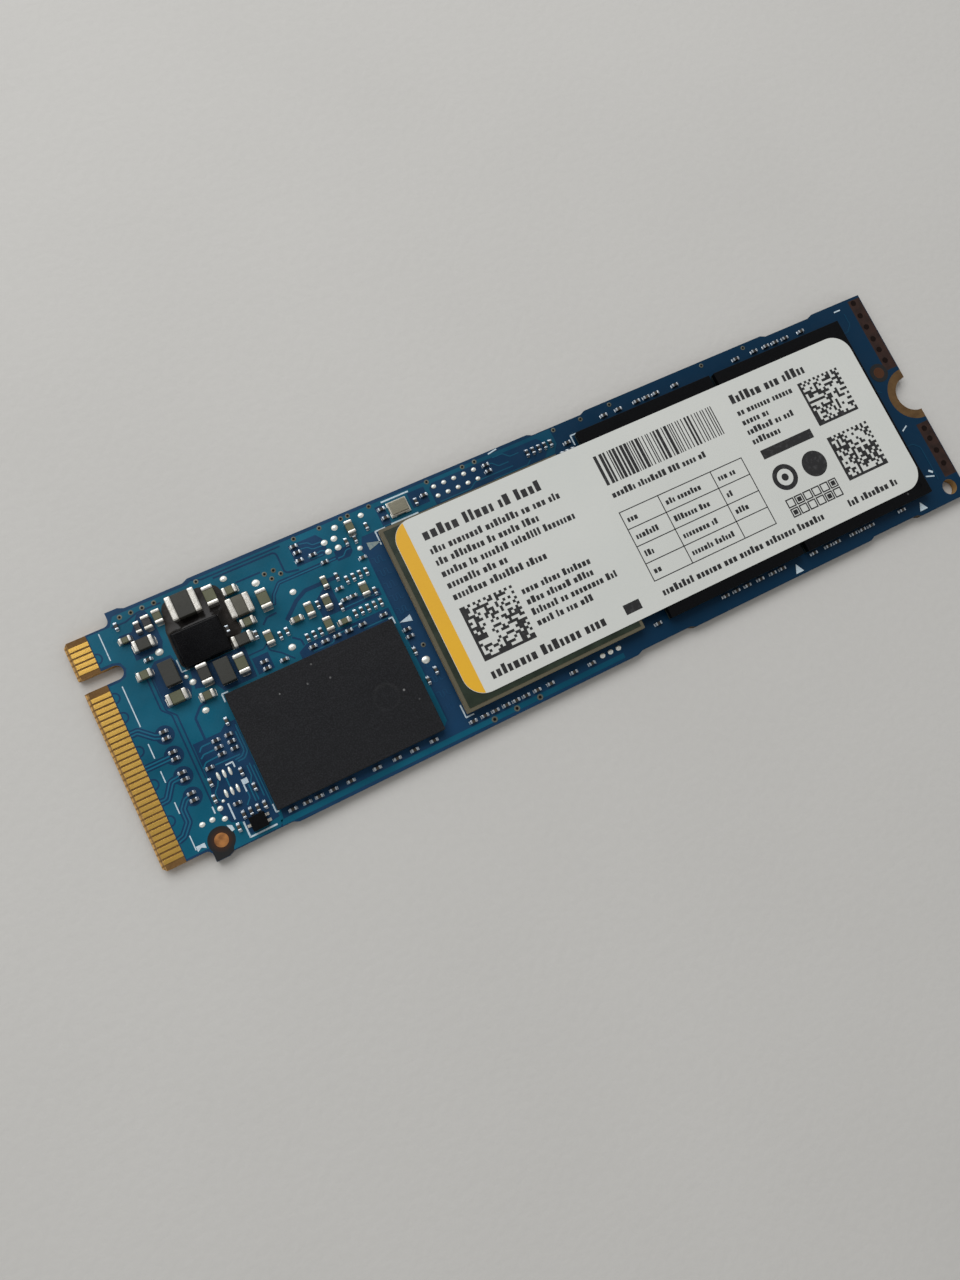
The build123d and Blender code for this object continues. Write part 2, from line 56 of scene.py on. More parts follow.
# One millimetre in Blender's units. Shapes are modelled in millimetres and brought to metres at the end.
MM = 0.001
BODY = "root"
BOARD_LOW, BOARD_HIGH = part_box("circuit_board")
BOARD_TOP = BOARD_HIGH.z
BOARD_THICKNESS = (BOARD_HIGH.z - BOARD_LOW.z) / MM

# Heights above the board, in millimetres, of the thin layers on it
POUR_LIFT = 0.008
FIELD_LIFT = 0.012
CLEARANCE_LIFT = 0.014
TRACE_LIFT = 0.02
SILK_LIFT = 0.026

# Places on the board are in millimetres: along it from the connector edge, across it from the middle line.
# Where the mask starts behind the gold fingers
MASK_START = 1.98
# Copper left under the mask between the connector and the controller
POUR_OUTLINE = [
    (MASK_START, -9.75), (3.85, -9.75), (4.35, -10.7), (9.5, -10.7), (9.95, -10.2), (10.1, -9.2),
    (24.9, -9.2), (25.35, -8.8), (25.35, 6.6), (25.05, 7.2), (25.6, 8.4), (44.6, 8.4), (45.2, 9.2),
    (45.2, 10.7), (11.2, 10.7), (10.8, 10.5), (4.4, 10.5), (3.9, 9.75), (MASK_START, 9.75),
    (MASK_START, 6.95), (2.9, 6.95), (3.5, 6.75), (3.75, 6.12), (3.5, 5.5), (2.9, 5.3), (MASK_START, 5.3),
]
# Copper left under the mask along the lower edge
LOWER_POUR = [(9.7, -10.25), (41.8, -10.25), (41.8, -10.72), (9.7, -10.72)]
# Areas that hold no copper, seen darker through the mask
BARE_FIELDS = [
    [(32.8, 8.4), (43.6, 8.4), (44.0, 8.8), (44.0, 10.0), (43.6, 10.35), (33.2, 10.35), (32.8, 10.0)],
    [(27.7, 8.5), (28.5, 8.5), (28.5, 10.3), (27.7, 10.3)],
    [(30.8, 8.9), (32.4, 8.9), (32.4, 10.35), (30.8, 10.35)],
    [(5.95, -1.75), (8.35, -1.75), (8.9, -1.3), (9.75, -1.3), (9.75, -9.9), (7.2, -10.25), (7.0, -9.0),
     (6.2, -8.7), (5.7, -7.7), (5.7, -6.0), (5.95, -5.0)],
    [(4.7, 6.35), (6.9, 6.35), (7.2, 7.0), (7.2, 9.0), (6.9, 9.9), (6.2, 9.9), (5.3, 8.7), (4.2, 8.75),
     (4.2, 8.0), (4.75, 7.8)],
    [(5.3, 1.7), (7.4, 1.7), (7.75, 2.6), (7.75, 3.6), (7.3, 5.7), (5.95, 5.7), (5.3, 5.2)],
    [(7.95, 2.3), (9.6, 1.9), (10.0, 1.15), (12.8, 1.15), (12.9, 3.9), (8.2, 3.9)],
    [(13.0, 1.2), (14.4, 1.2), (14.4, 2.65), (13.0, 2.65)],
    [(16.7, 0.9), (25.0, 0.9), (25.0, 1.9), (17.5, 1.9), (16.7, 1.5)],
    [(19.6, 10.15), (22.1, 10.15), (22.5, 9.6), (22.5, 8.75), (22.1, 8.2), (19.6, 8.2)],
    [(22.9, 7.25), (24.0, 7.25), (24.4, 7.6), (24.4, 8.2), (22.9, 8.2)],
    [(19.7, 3.3), (21.4, 3.3), (21.4, 5.6), (20.7, 5.6), (19.7, 4.9)],
    [(21.6, 3.1), (25.0, 3.1), (25.0, 3.8), (21.6, 3.8)],
]
# Ground kept clear round the four groups of signal capacitors beside the connector
SIGNAL_GROUPS = [(4.33, -0.1), (4.33, -1.9), (4.33, -3.7), (4.33, -5.5)]
SIGNAL_CLEARING = 0.78
# Signal pairs from the gold fingers to those groups
PAIR_ROUTES = [
    [(1.95, 1.05), (2.55, 1.05), (3.55, 0.1), (4.0, -0.1)],
    [(1.95, -1.95), (4.0, -1.95)],
    [(1.95, -4.9), (2.5, -4.9), (3.3, -3.75), (4.0, -3.7)],
    [(1.95, -8.2), (2.5, -8.05), (3.25, -7.2), (3.25, -6.1), (3.75, -5.5), (4.0, -5.45)],
]
PAIR_BAND = 0.66
PAIR_OFFSET = 0.14
PAIR_WIDTH = 0.13
# Spacing of the gold fingers
FINGER_PITCH = 0.5
# Returns of the ground fingers, half rings behind the connector
LOOP_PLACES = [7.75, 4.25, 2.55, -0.45, -3.35, -6.5]
LOOP_RADIUS = 0.42
LOOP_WIDTH = 0.13
# Lines where copper is cut back: width and path
CLEARANCES = [
    (0.13, [(4.85, 4.7), (4.85, 1.85), (5.45, 1.15), (5.45, -6.9)]),
    (0.13, [(5.2, 4.7), (5.2, 1.65), (5.82, 0.95), (5.82, -4.6)]),
    (0.2, [(8.3, 0.95), (7.75, 0.85), (7.0, 0.1), (7.0, -1.75)]),
    (0.16, [(12.9, 10.15), (18.45, 10.15), (18.45, 8.15), (19.6, 7.95)]),
    (0.14, [(14.4, 9.05), (16.6, 9.05)]),
    (0.34, [(16.5, 6.0), (16.8, 6.8), (17.6, 7.6), (22.9, 7.6)]),
    (0.34, [(16.9, 4.4), (18.3, 5.6), (19.3, 6.1), (22.4, 6.1)]),
    (0.16, [(15.0, 4.85), (15.5, 5.3), (16.4, 5.35)]),
    (0.16, [(16.7, 2.9), (17.3, 2.4), (17.3, 1.9)]),
    (0.14, [(4.0, 9.65), (5.2, 9.65), (6.3, 10.0), (8.3, 10.0)]),
    (0.12, [(25.35, -8.9), (25.35, 6.7)]),
    (0.14, [(11.2, 10.75), (12.0, 10.45), (19.0, 10.45)]),
    (0.12, [(14.6, 3.3), (14.6, 2.7), (15.4, 2.1), (16.2, 1.2)]),
    (0.12, [(12.9, 3.0), (14.2, 3.0), (14.6, 3.3)]),
]
# Copper tracks in the bare areas: width and path
TRACKS = [
    (0.11, [(16.5, 6.1), (16.85, 6.85), (17.6, 7.58), (22.8, 7.58)]),
    (0.13, [(7.3, -2.2), (6.5, -2.2), (6.2, -2.55)]),
    (0.13, [(7.3, -2.85), (6.4, -2.85), (6.1, -3.1)]),
    (0.13, [(7.4, -3.45), (6.3, -3.5), (5.95, -3.9)]),
    (0.12, [(9.4, -2.2), (9.4, -3.9), (9.05, -4.25), (8.45, -4.3)]),
    (0.12, [(9.62, -1.7), (9.62, -4.05), (9.2, -4.5), (8.6, -4.5)]),
    (0.12, [(6.9, -4.0), (9.0, -4.05)]),
    (0.12, [(7.23, -5.2), (7.23, -6.2)]),
    (0.11, [(9.1, -5.1), (9.1, -6.0), (8.85, -6.4), (8.85, -8.0)]),
    (0.11, [(9.35, -5.0), (9.35, -7.9)]),
    (0.11, [(9.6, -5.3), (9.6, -9.2)]),
    (0.11, [(8.3, -6.9), (8.3, -7.5), (7.85, -8.0)]),
    (0.11, [(8.6, -6.5), (8.6, -8.0)]),
    (0.1, [(6.3, -6.9), (6.0, -6.6), (6.0, -6.0), (6.4, -5.6), (6.6, -5.2)]),
    (0.1, [(20.5, 9.95), (21.2, 9.8), (21.5, 9.45), (22.3, 9.4)]),
    (0.1, [(20.45, 9.5), (21.0, 9.45), (21.4, 9.1), (22.2, 9.05)]),
    (0.1, [(20.7, 8.6), (21.1, 8.35), (22.0, 8.35)]),
    (0.1, [(21.4, 8.6), (22.0, 8.7), (22.4, 8.45)]),
    (0.1, [(23.0, 7.5), (23.5, 7.5), (23.9, 7.9), (24.3, 7.9)]),
    (0.12, [(17.8, 1.1), (19.6, 1.1), (20.0, 1.6), (22.0, 1.6)]),
    (0.12, [(22.4, 1.1), (24.8, 1.1)]),
    (0.1, [(21.7, 3.4), (24.9, 3.4)]),
    (0.1, [(33.2, 8.5), (36.2, 8.5), (36.8, 8.9), (40.6, 8.9)]),
    (0.1, [(38.5, 8.45), (41.9, 8.45), (42.3, 8.8)]),
    (0.1, [(39.2, 10.3), (40.2, 10.3), (40.7, 9.8), (41.6, 9.8)]),
    (0.1, [(38.1, 9.9), (38.9, 9.9), (39.4, 9.4), (40.4, 9.4)]),
    (0.1, [(76.3, 8.0), (77.0, 8.0), (77.6, 8.6), (77.6, 9.8)]),
    (0.1, [(76.2, -4.5), (77.2, -4.5), (77.8, -5.1), (77.8, -8.6)]),
    (0.1, [(76.2, 1.5), (76.7, 1.5), (77.0, 1.2)]),
]
# Length-matching bends between the memory chip and the controller
MEANDER_PLACES = [6.3, 5.1, 3.9, 2.7, 1.5, -3.6, -5.0, -6.4, -7.7]
MEANDER_LEFT = 25.5
MEANDER_WIDTH = 0.09
MEANDER_STEP = 0.28
MEANDER_DEPTH = 0.55
MEANDER_RUNS = 3
MEANDER_BEND = MEANDER_STEP * 0.4
# Bare ring round each alignment disc, against the disc's radius, and the far ring against the near one
CLEARING_SHARE = 2.0
FAR_CLEARING = 0.85
# Corner of the board beside the near ring, bare of mask
BARE_CORNER = [(3.97, -10.15), (4.4, -10.4), (5.65, -10.4), (5.5, -10.76), (4.98, -10.97), (3.97, -10.97)]
# White screen print: width and path
SILK_LINES = [
    *[(0.09, [(2.9, high), (2.9, low)]) for high, low in (
        (9.6, 7.2), (4.9, 1.3), (-0.2, -1.5), (-2.6, -3.6), (-5.3, -6.3), (-8.2, -9.45))],
    (0.12, [(9.65, 0.3), (9.65, 1.0), (10.2, 1.0)]),
    (0.12, [(9.65, -8.8), (9.65, -9.5), (9.9, -9.5)]),
    (0.12, [(24.95, 0.4), (24.95, 1.0), (24.6, 1.0)]),
    (0.12, [(27.8, 8.35), (26.85, 8.35), (26.85, 7.1)]),
    (0.12, [(26.85, -8.2), (26.85, -9.35), (27.6, -9.35)]),
    (0.12, [(46.7, 8.4), (46.7, 9.35), (47.4, 9.35)]),
    (0.1, [(7.55, 5.1), (7.55, 4.0), (8.2, 4.0)]),
    (0.14, [(28.4, 10.5), (31.0, 10.5)]),
    (0.14, [(28.4, 8.4), (31.0, 8.4)]),
    (0.14, [(7.05, -9.05), (7.05, -10.4), (9.35, -10.4)]),
    (0.13, [(6.55, -7.2), (6.55, -8.6)]),
    (0.12, [(5.35, -6.9), (5.35, -7.5)]),
    (0.12, [(7.6, -4.35), (8.2, -4.35), (8.2, -4.8)]),
    (0.12, [(8.25, -6.42), (8.25, -7.0)]),
    (0.12, [(39.0, 10.75), (39.9, 10.9)]),
    (0.13, [(76.7, 10.3), (77.4, 10.3)]),
    (0.12, [(76.95, -3.0), (77.6, -2.65)]),
    (0.13, [(76.75, -7.85), (77.6, -8.15)]),
    (0.2, [(77.3, -7.45), (77.65, -7.75)]),
]
SILK_PATCHES = [
    [(26.4, 0.6), (25.3, 0.3), (26.4, 0.0)],
    [(8.2, -5.95), (8.7, -5.95), (8.7, -6.4), (8.2, -6.4)],
    [(2.98, -9.2), (3.7, -9.2), (3.7, -9.65), (3.35, -9.45), (2.98, -9.65)],
    [(5.75, -8.7), (6.15, -8.9), (6.2, -9.3), (5.95, -9.35)],
    [(60.0, -10.75), (60.85, -10.75), (60.4, -9.9)],
    [(74.4, -10.6), (75.3, -10.6), (74.8, -9.8)],
]
# Print drawn duller and greener than the rest
FAINT_PATCHES = [[(25.75, 7.75), (27.0, 7.4), (25.75, 7.05)]]
# Plated holes with a bare ring and a dark disc of painted shade
VIA_PLACES = [
    (4.9, 10.2), (5.85, 10.2), (6.8, 10.2), (7.8, 10.2), (11.55, 10.45), (20.3, 10.55), (22.65, 10.55),
    (24.65, 10.57), (25.3, 10.57), (27.3, 10.6), (32.85, 10.6), (36.35, 10.6), (37.55, 10.6), (45.5, 10.45),
    (48.3, 10.4), (51.45, 10.6), (61.5, 10.6), (66.2, 10.6), (16.85, 8.75), (17.65, 8.75), (17.25, 8.15),
    (18.1, 8.25), (26.3, -2.25),
]
# Wider ones along the lower edge, and how much wider
WIDE_VIAS = [(28.97, -10.53), (31.12, -10.53), (33.36, -10.53)]
WIDE_VIA = 1.25
# How far the epoxy round the power chip has run. The outline also takes in dark places beside the parts round
# it, where only shade lies: painted shade.
EPOXY_AND_SHADE_OUTLINE = [
    (13.3, 5.3), (13.2, 6.2), (13.05, 7.0), (13.15, 8.3), (13.1, 8.9), (12.9, 9.45), (12.5, 9.75),
    (11.9, 9.8), (11.45, 9.95), (11.0, 9.95), (8.7, 9.95), (8.3, 9.75), (8.05, 9.3), (7.95, 8.3), (7.7, 7.6),
    (7.65, 6.0), (7.7, 4.5), (7.95, 4.15), (9.5, 4.05), (11.8, 4.1), (12.2, 4.9), (13.0, 4.9),
]
# Tooling hole, whose wall is drawn paler than the board's cut edge as painted light
TOOLING_HOLE = (78.5, -9.7)
TOOLING_HOLE_LIGHT_REACH = 0.9
# Where the mask darkens towards the far end as painted shade, along the card from its middle: over copper,
# and on the board
MASK_SHADE_FADE = (-16.0, 12.0)
BOARD_SHADE_FADE = (-12.0, 12.0)
# Pitch of the glass weave that shows through the mask
WEAVE_PITCH = 0.42
# Old smear on the memory chip
SMEAR_PLACE = (21.5, -5.0)
SMEAR_RADIUS = 1.05
# Plated holes in the bare strips at the far end, drawn only as dark discs of painted shade, and how much
# wider than the others they are
STRIP_VIAS = [
    *[(79.1, y) for y in (10.4, 9.0, 7.75, 6.4, 5.2, 4.0)],
    *[(79.2, y) for y in (-3.6, -4.7, -6.0, -7.4)],
]
STRIP_VIA = 2.5
# Print on the label, in millimetres from its lower left corner.
# Rows of blank cells: left end, middle height, width and height
LABEL_ROWS = [
    (2.4, 14.5, 14.5, 1.0),
    (2.4, 13.0, 13.0, 0.66), (2.4, 11.9, 10.5, 0.66), (2.4, 10.8, 13.5, 0.66), (2.4, 9.7, 8.0, 0.66),
    (2.4, 8.6, 11.5, 0.66),
    (8.0, 6.6, 8.6, 0.62), (8.0, 5.6, 7.0, 0.62), (8.0, 4.6, 8.8, 0.62), (8.0, 3.6, 5.6, 0.62),
    (2.4, 1.3, 13.0, 0.9),
    (19.4, 11.0, 12.0, 0.6),
    (19.6, 8.45, 3.3, 0.55), (23.6, 8.45, 4.9, 0.55), (29.2, 8.45, 2.8, 0.55),
    (19.6, 6.75, 3.3, 0.55), (23.6, 6.75, 4.9, 0.55), (29.2, 6.75, 2.6, 0.55),
    (19.6, 5.05, 3.3, 0.55), (23.6, 5.05, 4.7, 0.55), (29.2, 5.05, 2.8, 0.55),
    (19.6, 3.35, 3.3, 0.55), (23.6, 3.35, 4.9, 0.55), (29.2, 3.35, 2.8, 0.55),
    (19.4, 1.3, 18.0, 0.66),
    (34.0, 14.6, 11.5, 0.9), (34.0, 13.2, 6.4, 0.6), (34.0, 12.2, 5.6, 0.6), (34.0, 11.2, 6.4, 0.6),
    (34.0, 10.2, 5.0, 0.6), (39.6, 1.3, 6.0, 0.66),
]
# Strip of bars: left end, middle height, width and height
LABEL_BARS = (19.4, 13.4, 12.6, 2.9)
# Table: lower left corner, width, height, rows and where its columns part
LABEL_TABLE = (19.2, 2.5, 13.0, 6.8, 4, (4.0, 9.6))
# Solid blocks: middle, width and height
LABEL_BLOCKS = [(37.0, 8.7, 5.6, 0.9), (16.3, 1.3, 1.6, 0.9)]
# Grid of boxes: lower left corner, columns, rows and step
LABEL_BOXES = (34.0, 2.2, 6, 2, 0.95)
# Square blocks of cells: middle, cells along a side and a cell's size
LABEL_CODES = [(4.9, 5.0, 20, 0.25), (43.1, 11.2, 18, 0.25), (43.1, 5.4, 18, 0.25)]
# Rings with an outer and an inner radius, and solid shapes with a reach and a number of corners
LABEL_RINGS = [(35.2, 6.0, 1.25, 0.8)]
LABEL_SOLIDS = [(38.5, 6.0, 1.25, 40), (35.2, 6.0, 0.35, 24)]
# Floor, in millimetres
FLOOR_REACH = 2000.0
FLOOR_DROP = 0.01
FLOOR_THICKNESS = 1.0
# Window light, in metres
WINDOW_SIZE = (0.42, 0.3)
WINDOW_PLACE = (-0.07, 0.26, 0.3)
# How far up the room's walls end and its ceiling starts, 1 being straight above
WALL_END = 0.45
CEILING_START = 0.95
ROOM_COLOUR = (1.0, 0.99, 0.975, 1.0)


def srgb(red, green, blue):
    """Colour as seen on a screen, 0 to 255 a channel, as the linear values that a shader takes."""
    linear = [((v / 255 + 0.055) / 1.055) ** 2.4 if v > 10 else v / 255 / 12.92 for v in (red, green, blue)]
    return (*linear, 1.0)


def at(x, y, lift=0.0):
    """Place on the board, or a lift above it, in metres."""
    return Vector((BOARD_LOW.x + x * MM, y * MM, BOARD_TOP + lift * MM))


def disc(middle, radius, steps=24):
    """Outline of a round area."""
    turns = [2 * math.pi * i / steps for i in range(steps)]
    return [(middle[0] + radius * math.cos(a), middle[1] + radius * math.sin(a)) for a in turns]


def beside(path, offset):
    """The same path, moved sideways."""
    moved = []
    for i, (x, y) in enumerate(path):
        ahead = Vector(path[min(i + 1, len(path) - 1)]) - Vector(path[max(i - 1, 0)])
        ahead.normalize()
        moved.append((x - ahead.y * offset, y + ahead.x * offset))
    return moved


def finger_loop(y):
    """Half ring behind the gold fingers."""
    turns = [math.radians(-90 + 15 * i) for i in range(13)]
    return [(MASK_START + LOOP_RADIUS * math.cos(a), y + LOOP_RADIUS * math.sin(a)) for a in turns]


def meander(y):
    """Track that runs to and fro before it goes on to the controller."""
    path = [(MEANDER_LEFT, y)]
    for i in range(MEANDER_RUNS):
        x = MEANDER_LEFT + MEANDER_STEP * (i + 1)
        ends = (y, y - MEANDER_DEPTH) if i % 2 == 0 else (y - MEANDER_DEPTH, y)
        path.extend((x, end) for end in ends)
    return path + [(MEANDER_LEFT + MEANDER_STEP * (MEANDER_RUNS + 1), y - MEANDER_DEPTH)]


class Wire:
    """A node's output that takes part in sums: every operator adds a Math node to its graph."""

    def __init__(self, graph, socket):
        self.graph = graph
        self.socket = socket

    def __add__(self, other):
        return self.graph.math("ADD", self, other)

    def __radd__(self, other):
        return self.graph.math("ADD", other, self)

    def __sub__(self, other):
        return self.graph.math("SUBTRACT", self, other)

    def __rsub__(self, other):
        return self.graph.math("SUBTRACT", other, self)

    def __mul__(self, other):
        return self.graph.math("MULTIPLY", self, other)

    def __rmul__(self, other):
        return self.graph.math("MULTIPLY", other, self)

    def __truediv__(self, other):
        return self.graph.math("DIVIDE", self, other)

    def __mod__(self, other):
        return self.graph.math("MODULO", self, other)

    def __lt__(self, other):
        return self.graph.math("LESS_THAN", self, other)

    def __gt__(self, other):
        return self.graph.math("GREATER_THAN", self, other)


class Graph:
    """A node tree under construction."""

    def __init__(self, tree):
        self.tree = tree

    def node(self, kind, settings=None, inputs=None, output=0):
        """Add a node: its settings first, then values or wires for its sockets. Gives one output."""
        made = self.tree.nodes.new(kind)
        for key, value in (settings or {}).items():
            setattr(made, key, value)
        for key, value in (inputs or {}).items():
            self.feed(made.inputs[key], value)
        return Wire(self, made.outputs[output])

    def feed(self, socket, value):
        """Link a wire to a socket, or set its value."""
        if isinstance(value, Wire):
            self.tree.links.new(value.socket, socket)
        else:
            socket.default_value = value

    def math(self, operation, first, second=0.0, third=0.0):
        return self.node("ShaderNodeMath", {"operation": operation}, {0: first, 1: second, 2: third})


class Paint(Graph):
    """A material under construction, round one shader. Its coordinates are the object's, in millimetres."""

    def __init__(self, name):
        self.material = bpy.data.materials.new(name)
        self.material.use_nodes = True
        super().__init__(self.material.node_tree)
        self.shader = self.tree.nodes["Principled BSDF"]
        place = self.node("ShaderNodeTexCoord", output="Object")
        self.place = self.vector("SCALE", {"Vector": place, "Scale": 1 / MM})

    def vector(self, operation, inputs, output=0):
        return self.node("ShaderNodeVectorMath", {"operation": operation}, inputs, output)

    def axis(self, letter):
        return self.node("ShaderNodeSeparateXYZ", None, {"Vector": self.place}, letter)

    def facing(self):
        """How far a face looks up: 1 on top, 0 on the sides."""
        normal = self.node("ShaderNodeNewGeometry", output="Normal")
        return self.node("ShaderNodeSeparateXYZ", None, {"Vector": normal}, "Z")

    def around(self, x, y):
        """Distance from an upright line, in millimetres."""
        flat = self.vector("MULTIPLY", {0: self.place, 1: (1.0, 1.0, 0.0)})
        return self.vector("DISTANCE", {0: flat, 1: (x, y, 0.0)}, "Value")

    def noise(self, scale, detail=2.0, stretch=(1.0, 1.0, 1.0)):
        """Cloudy pattern from 0 to 1, with features about 1/scale millimetres wide."""
        place = self.vector("MULTIPLY", {0: self.place, 1: stretch})
        return self.node("ShaderNodeTexNoise", None, {"Vector": place, "Scale": scale, "Detail": detail})

    def specks(self, scale, size):
        """Scattered round specks: 1 inside them, 0 elsewhere. Size is a share of their spacing."""
        cells = self.node("ShaderNodeTexVoronoi", None, {"Vector": self.place, "Scale": scale})
        return self.span(cells, size, size * 0.6)

    def span(self, value, start, end, low=0.0, high=1.0):
        """Value carried from one range to another, and held at its ends."""
        inputs = {"Value": value, "From Min": start, "From Max": end, "To Min": low, "To Max": high}
        return self.node("ShaderNodeMapRange", None, inputs)

    def blend(self, factor, first, second):
        """Mix of two colours."""
        return self.node("ShaderNodeMix", {"data_type": "RGBA"}, {0: factor, 6: first, 7: second}, 2)

    def relief(self, height, depth):
        """Bumps of a depth in millimetres."""
        return self.node("ShaderNodeBump", None, {"Height": height, "Distance": depth * MM}, "Normal")

    def finish(self, colour, roughness, relief=None, **constants):
        """Wire what varies, set what is the same all over, and give the material."""
        self.feed(self.shader.inputs["Base Color"], colour)
        self.feed(self.shader.inputs["Roughness"], roughness)
        if relief:
            self.feed(self.shader.inputs["Normal"], relief)
        for name, value in constants.items():
            self.shader.inputs[name.replace("_", " ")].default_value = value
        return self.material


class Recipe(Graph):
    """A Geometry Nodes tree under construction, with named inputs."""

    def __init__(self, name, **inputs):
        super().__init__(bpy.data.node_groups.new(name, "GeometryNodeTree"))
        interface = self.tree.interface
        self.keys = {}
        kinds = {"Geometry": "NodeSocketGeometry", **inputs, "Finish": "NodeSocketMaterial"}
        for label, kind in kinds.items():
            self.keys[label] = interface.new_socket(label, in_out="INPUT", socket_type=kind).identifier
        interface.new_socket("Geometry", in_out="OUTPUT", socket_type="NodeSocketGeometry")
        self.entry = self.tree.nodes.new("NodeGroupInput")

    def input(self, label):
        return Wire(self, self.entry.outputs[label])

    def attribute(self, name, kind):
        return self.node("GeometryNodeInputNamedAttribute", {"data_type": kind}, {"Name": name})

    def joined(self, *parts):
        join = self.tree.nodes.new("GeometryNodeJoinGeometry")
        for part in parts:
            self.tree.links.new(part.socket, join.inputs[0])
        return Wire(self, join.outputs[0])

    def thickened(self, sheet, height):
        """Closed plate from a flat sheet that faces up."""
        up = self.node("ShaderNodeCombineXYZ", None, {"Z": height})
        inputs = {"Mesh": sheet, "Offset": up, "Offset Scale": 1.0, "Individual": False}
        top = self.node("GeometryNodeExtrudeMesh", {"mode": "FACES"}, inputs)
        base = self.node("GeometryNodeFlipFaces", None, {"Mesh": sheet})
        whole = self.joined(top, base)
        return self.node("GeometryNodeMergeByDistance", None, {"Geometry": whole, "Distance": 1e-7})

    def close(self, geometry):
        """End the tree: instances made real, then the finish."""
        real = self.node("GeometryNodeRealizeInstances", None, {"Geometry": geometry})
        inputs = {"Geometry": real, "Material": self.input("Finish")}
        finished = self.node("GeometryNodeSetMaterial", None, inputs)
        self.feed(self.tree.nodes.new("NodeGroupOutput").inputs["Geometry"], finished)

    def run(self, name, mesh, **values):
        """Plain mesh object made by this tree from a mesh of points or lines."""
        carrier = new_object(name + "_points", mesh)
        modifier = carrier.modifiers.new(self.tree.name, "NODES")
        modifier.node_group = self.tree
        for label, value in values.items():
            modifier[self.keys[label]] = value
        made = bpy.data.meshes.new_from_object(carrier.evaluated_get(bpy.context.evaluated_depsgraph_get()))
        carrier.modifiers.remove(modifier)
        bpy.data.objects.remove(carrier)
        if not made.polygons:
            raise RuntimeError(f"{name} came out empty")
        return new_object(name, made)


@functools.cache
def stamp_recipe():
    """One shape at every point, turned and stretched by the point's own values."""
    recipe = Recipe("Stamp", Shape="NodeSocketObject")
    shape = recipe.node("GeometryNodeObjectInfo", None, {"Object": recipe.input("Shape")}, "Geometry")
    turn = recipe.node("ShaderNodeCombineXYZ", None, {"Z": recipe.attribute("turn", "FLOAT")})
    inputs = {
        "Points": recipe.input("Geometry"),
        "Instance": shape,
        "Rotation": recipe.node("FunctionNodeEulerToRotation", None, {"Euler": turn}),
        "Scale": recipe.attribute("stretch", "FLOAT_VECTOR"),
    }
    recipe.close(recipe.node("GeometryNodeInstanceOnPoints", None, inputs))
    return recipe


@functools.cache
def ribbon_recipe():
    """Flat ribbon with rounded bends along every line, as wide as the line's own value."""
    inputs = {"Bend radius": "NodeSocketFloat", "Thickness": "NodeSocketFloat"}
    recipe = Recipe("Ribbon", **inputs)
    line = recipe.node("GeometryNodeMeshToCurve", None, {"Mesh": recipe.input("Geometry")})
    bends = {"Curve": line, "Count": 5, "Radius": recipe.input("Bend radius"), "Limit Radius": True}
    line = recipe.node("GeometryNodeFilletCurve", {"mode": "POLY"}, bends)
    line = recipe.node("GeometryNodeSetCurveNormal", {"mode": "Z_UP"}, {"Curve": line})
    profile = recipe.node("GeometryNodeCurvePrimitiveLine", None, {"Start": (-0.5, 0, 0), "End": (0.5, 0, 0)})
    sweep = {"Curve": line, "Profile Curve": profile, "Scale": recipe.attribute("width", "FLOAT")}
    flat = recipe.node("GeometryNodeCurveToMesh", None, sweep)
    recipe.close(recipe.thickened(flat, recipe.input("Thickness")))
    return recipe


@functools.cache
def code_recipe():
    """Square block of dark cells: two solid sides, two broken sides and seeded random cells within."""
    inputs = {"Middle": "NodeSocketVector", "Cells": "NodeSocketInt", "Cell": "NodeSocketFloat",
              "Thickness": "NodeSocketFloat", "Seed": "NodeSocketInt"}
    recipe = Recipe("Cell block", **inputs)
    cells, cell = recipe.input("Cells"), recipe.input("Cell")
    side, corners = cells * cell, cells + 1
    layout = {"Size X": side, "Size Y": side, "Vertices X": corners, "Vertices Y": corners}
    grid = recipe.node("GeometryNodeMeshGrid", None, layout)
    index = recipe.node("GeometryNodeInputIndex")
    column, row = index % cells, recipe.math("FLOOR", index / cells)
    solid = recipe.math("MAXIMUM", column < 0.5, row < 0.5)
    last = recipe.math("MAXIMUM", column > cells - 1.5, row > cells - 1.5)
    broken = last * (((column + row) % 2.0) < 0.5)
    chance = {"Probability": 0.48, "Seed": recipe.input("Seed")}
    inner = recipe.node("FunctionNodeRandomValue", {"data_type": "BOOLEAN"}, chance, 3)
    dark = recipe.math("MAXIMUM", solid, recipe.math("MAXIMUM", broken, inner * (1.0 - last)))
    gone = {"Geometry": grid, "Selection": 1.0 - dark}
    left = recipe.node("GeometryNodeDeleteGeometry", {"domain": "FACE"}, gone)
    plate = recipe.thickened(left, recipe.input("Thickness"))
    place = {"Geometry": plate, "Translation": recipe.input("Middle")}
    recipe.close(recipe.node("GeometryNodeTransform", None, place))
    return recipe


def new_object(name, mesh):
    """Object at the origin that shows a mesh."""
    made = bpy.data.objects.new(name, mesh)
    bpy.context.scene.collection.objects.link(made)
    return made


def shaded(mesh, angle=35.0):
    """Smooth shading, with creases kept where faces meet sharply."""
    mesh.shade_smooth()
    mesh.set_sharp_from_angle(angle=math.radians(angle))
    return mesh


def flat_faced(piece):
    """Let a piece's large faces shade flat, and only the rounded edges between them bend the light."""
    modifier = piece.modifiers.new("face_weights", "WEIGHTED_NORMAL")
    modifier.keep_sharp = True
    mesh = bpy.data.meshes.new_from_object(piece.evaluated_get(bpy.context.evaluated_depsgraph_get()))
    piece.modifiers.remove(modifier)
    piece.data = mesh
    return piece


def from_shape(name, shape, finish):
    """Object from a shape modelled in millimetres."""
    bmesh.ops.recalc_face_normals(shape, faces=shape.faces)
    mesh = bpy.data.meshes.new(name)
    shape.to_mesh(mesh)
    shape.free()
    mesh.materials.append(finish)
    piece = flat_faced(new_object(name, shaded(mesh)))
    piece.data.transform(Matrix.Scale(MM, 4))
    return piece


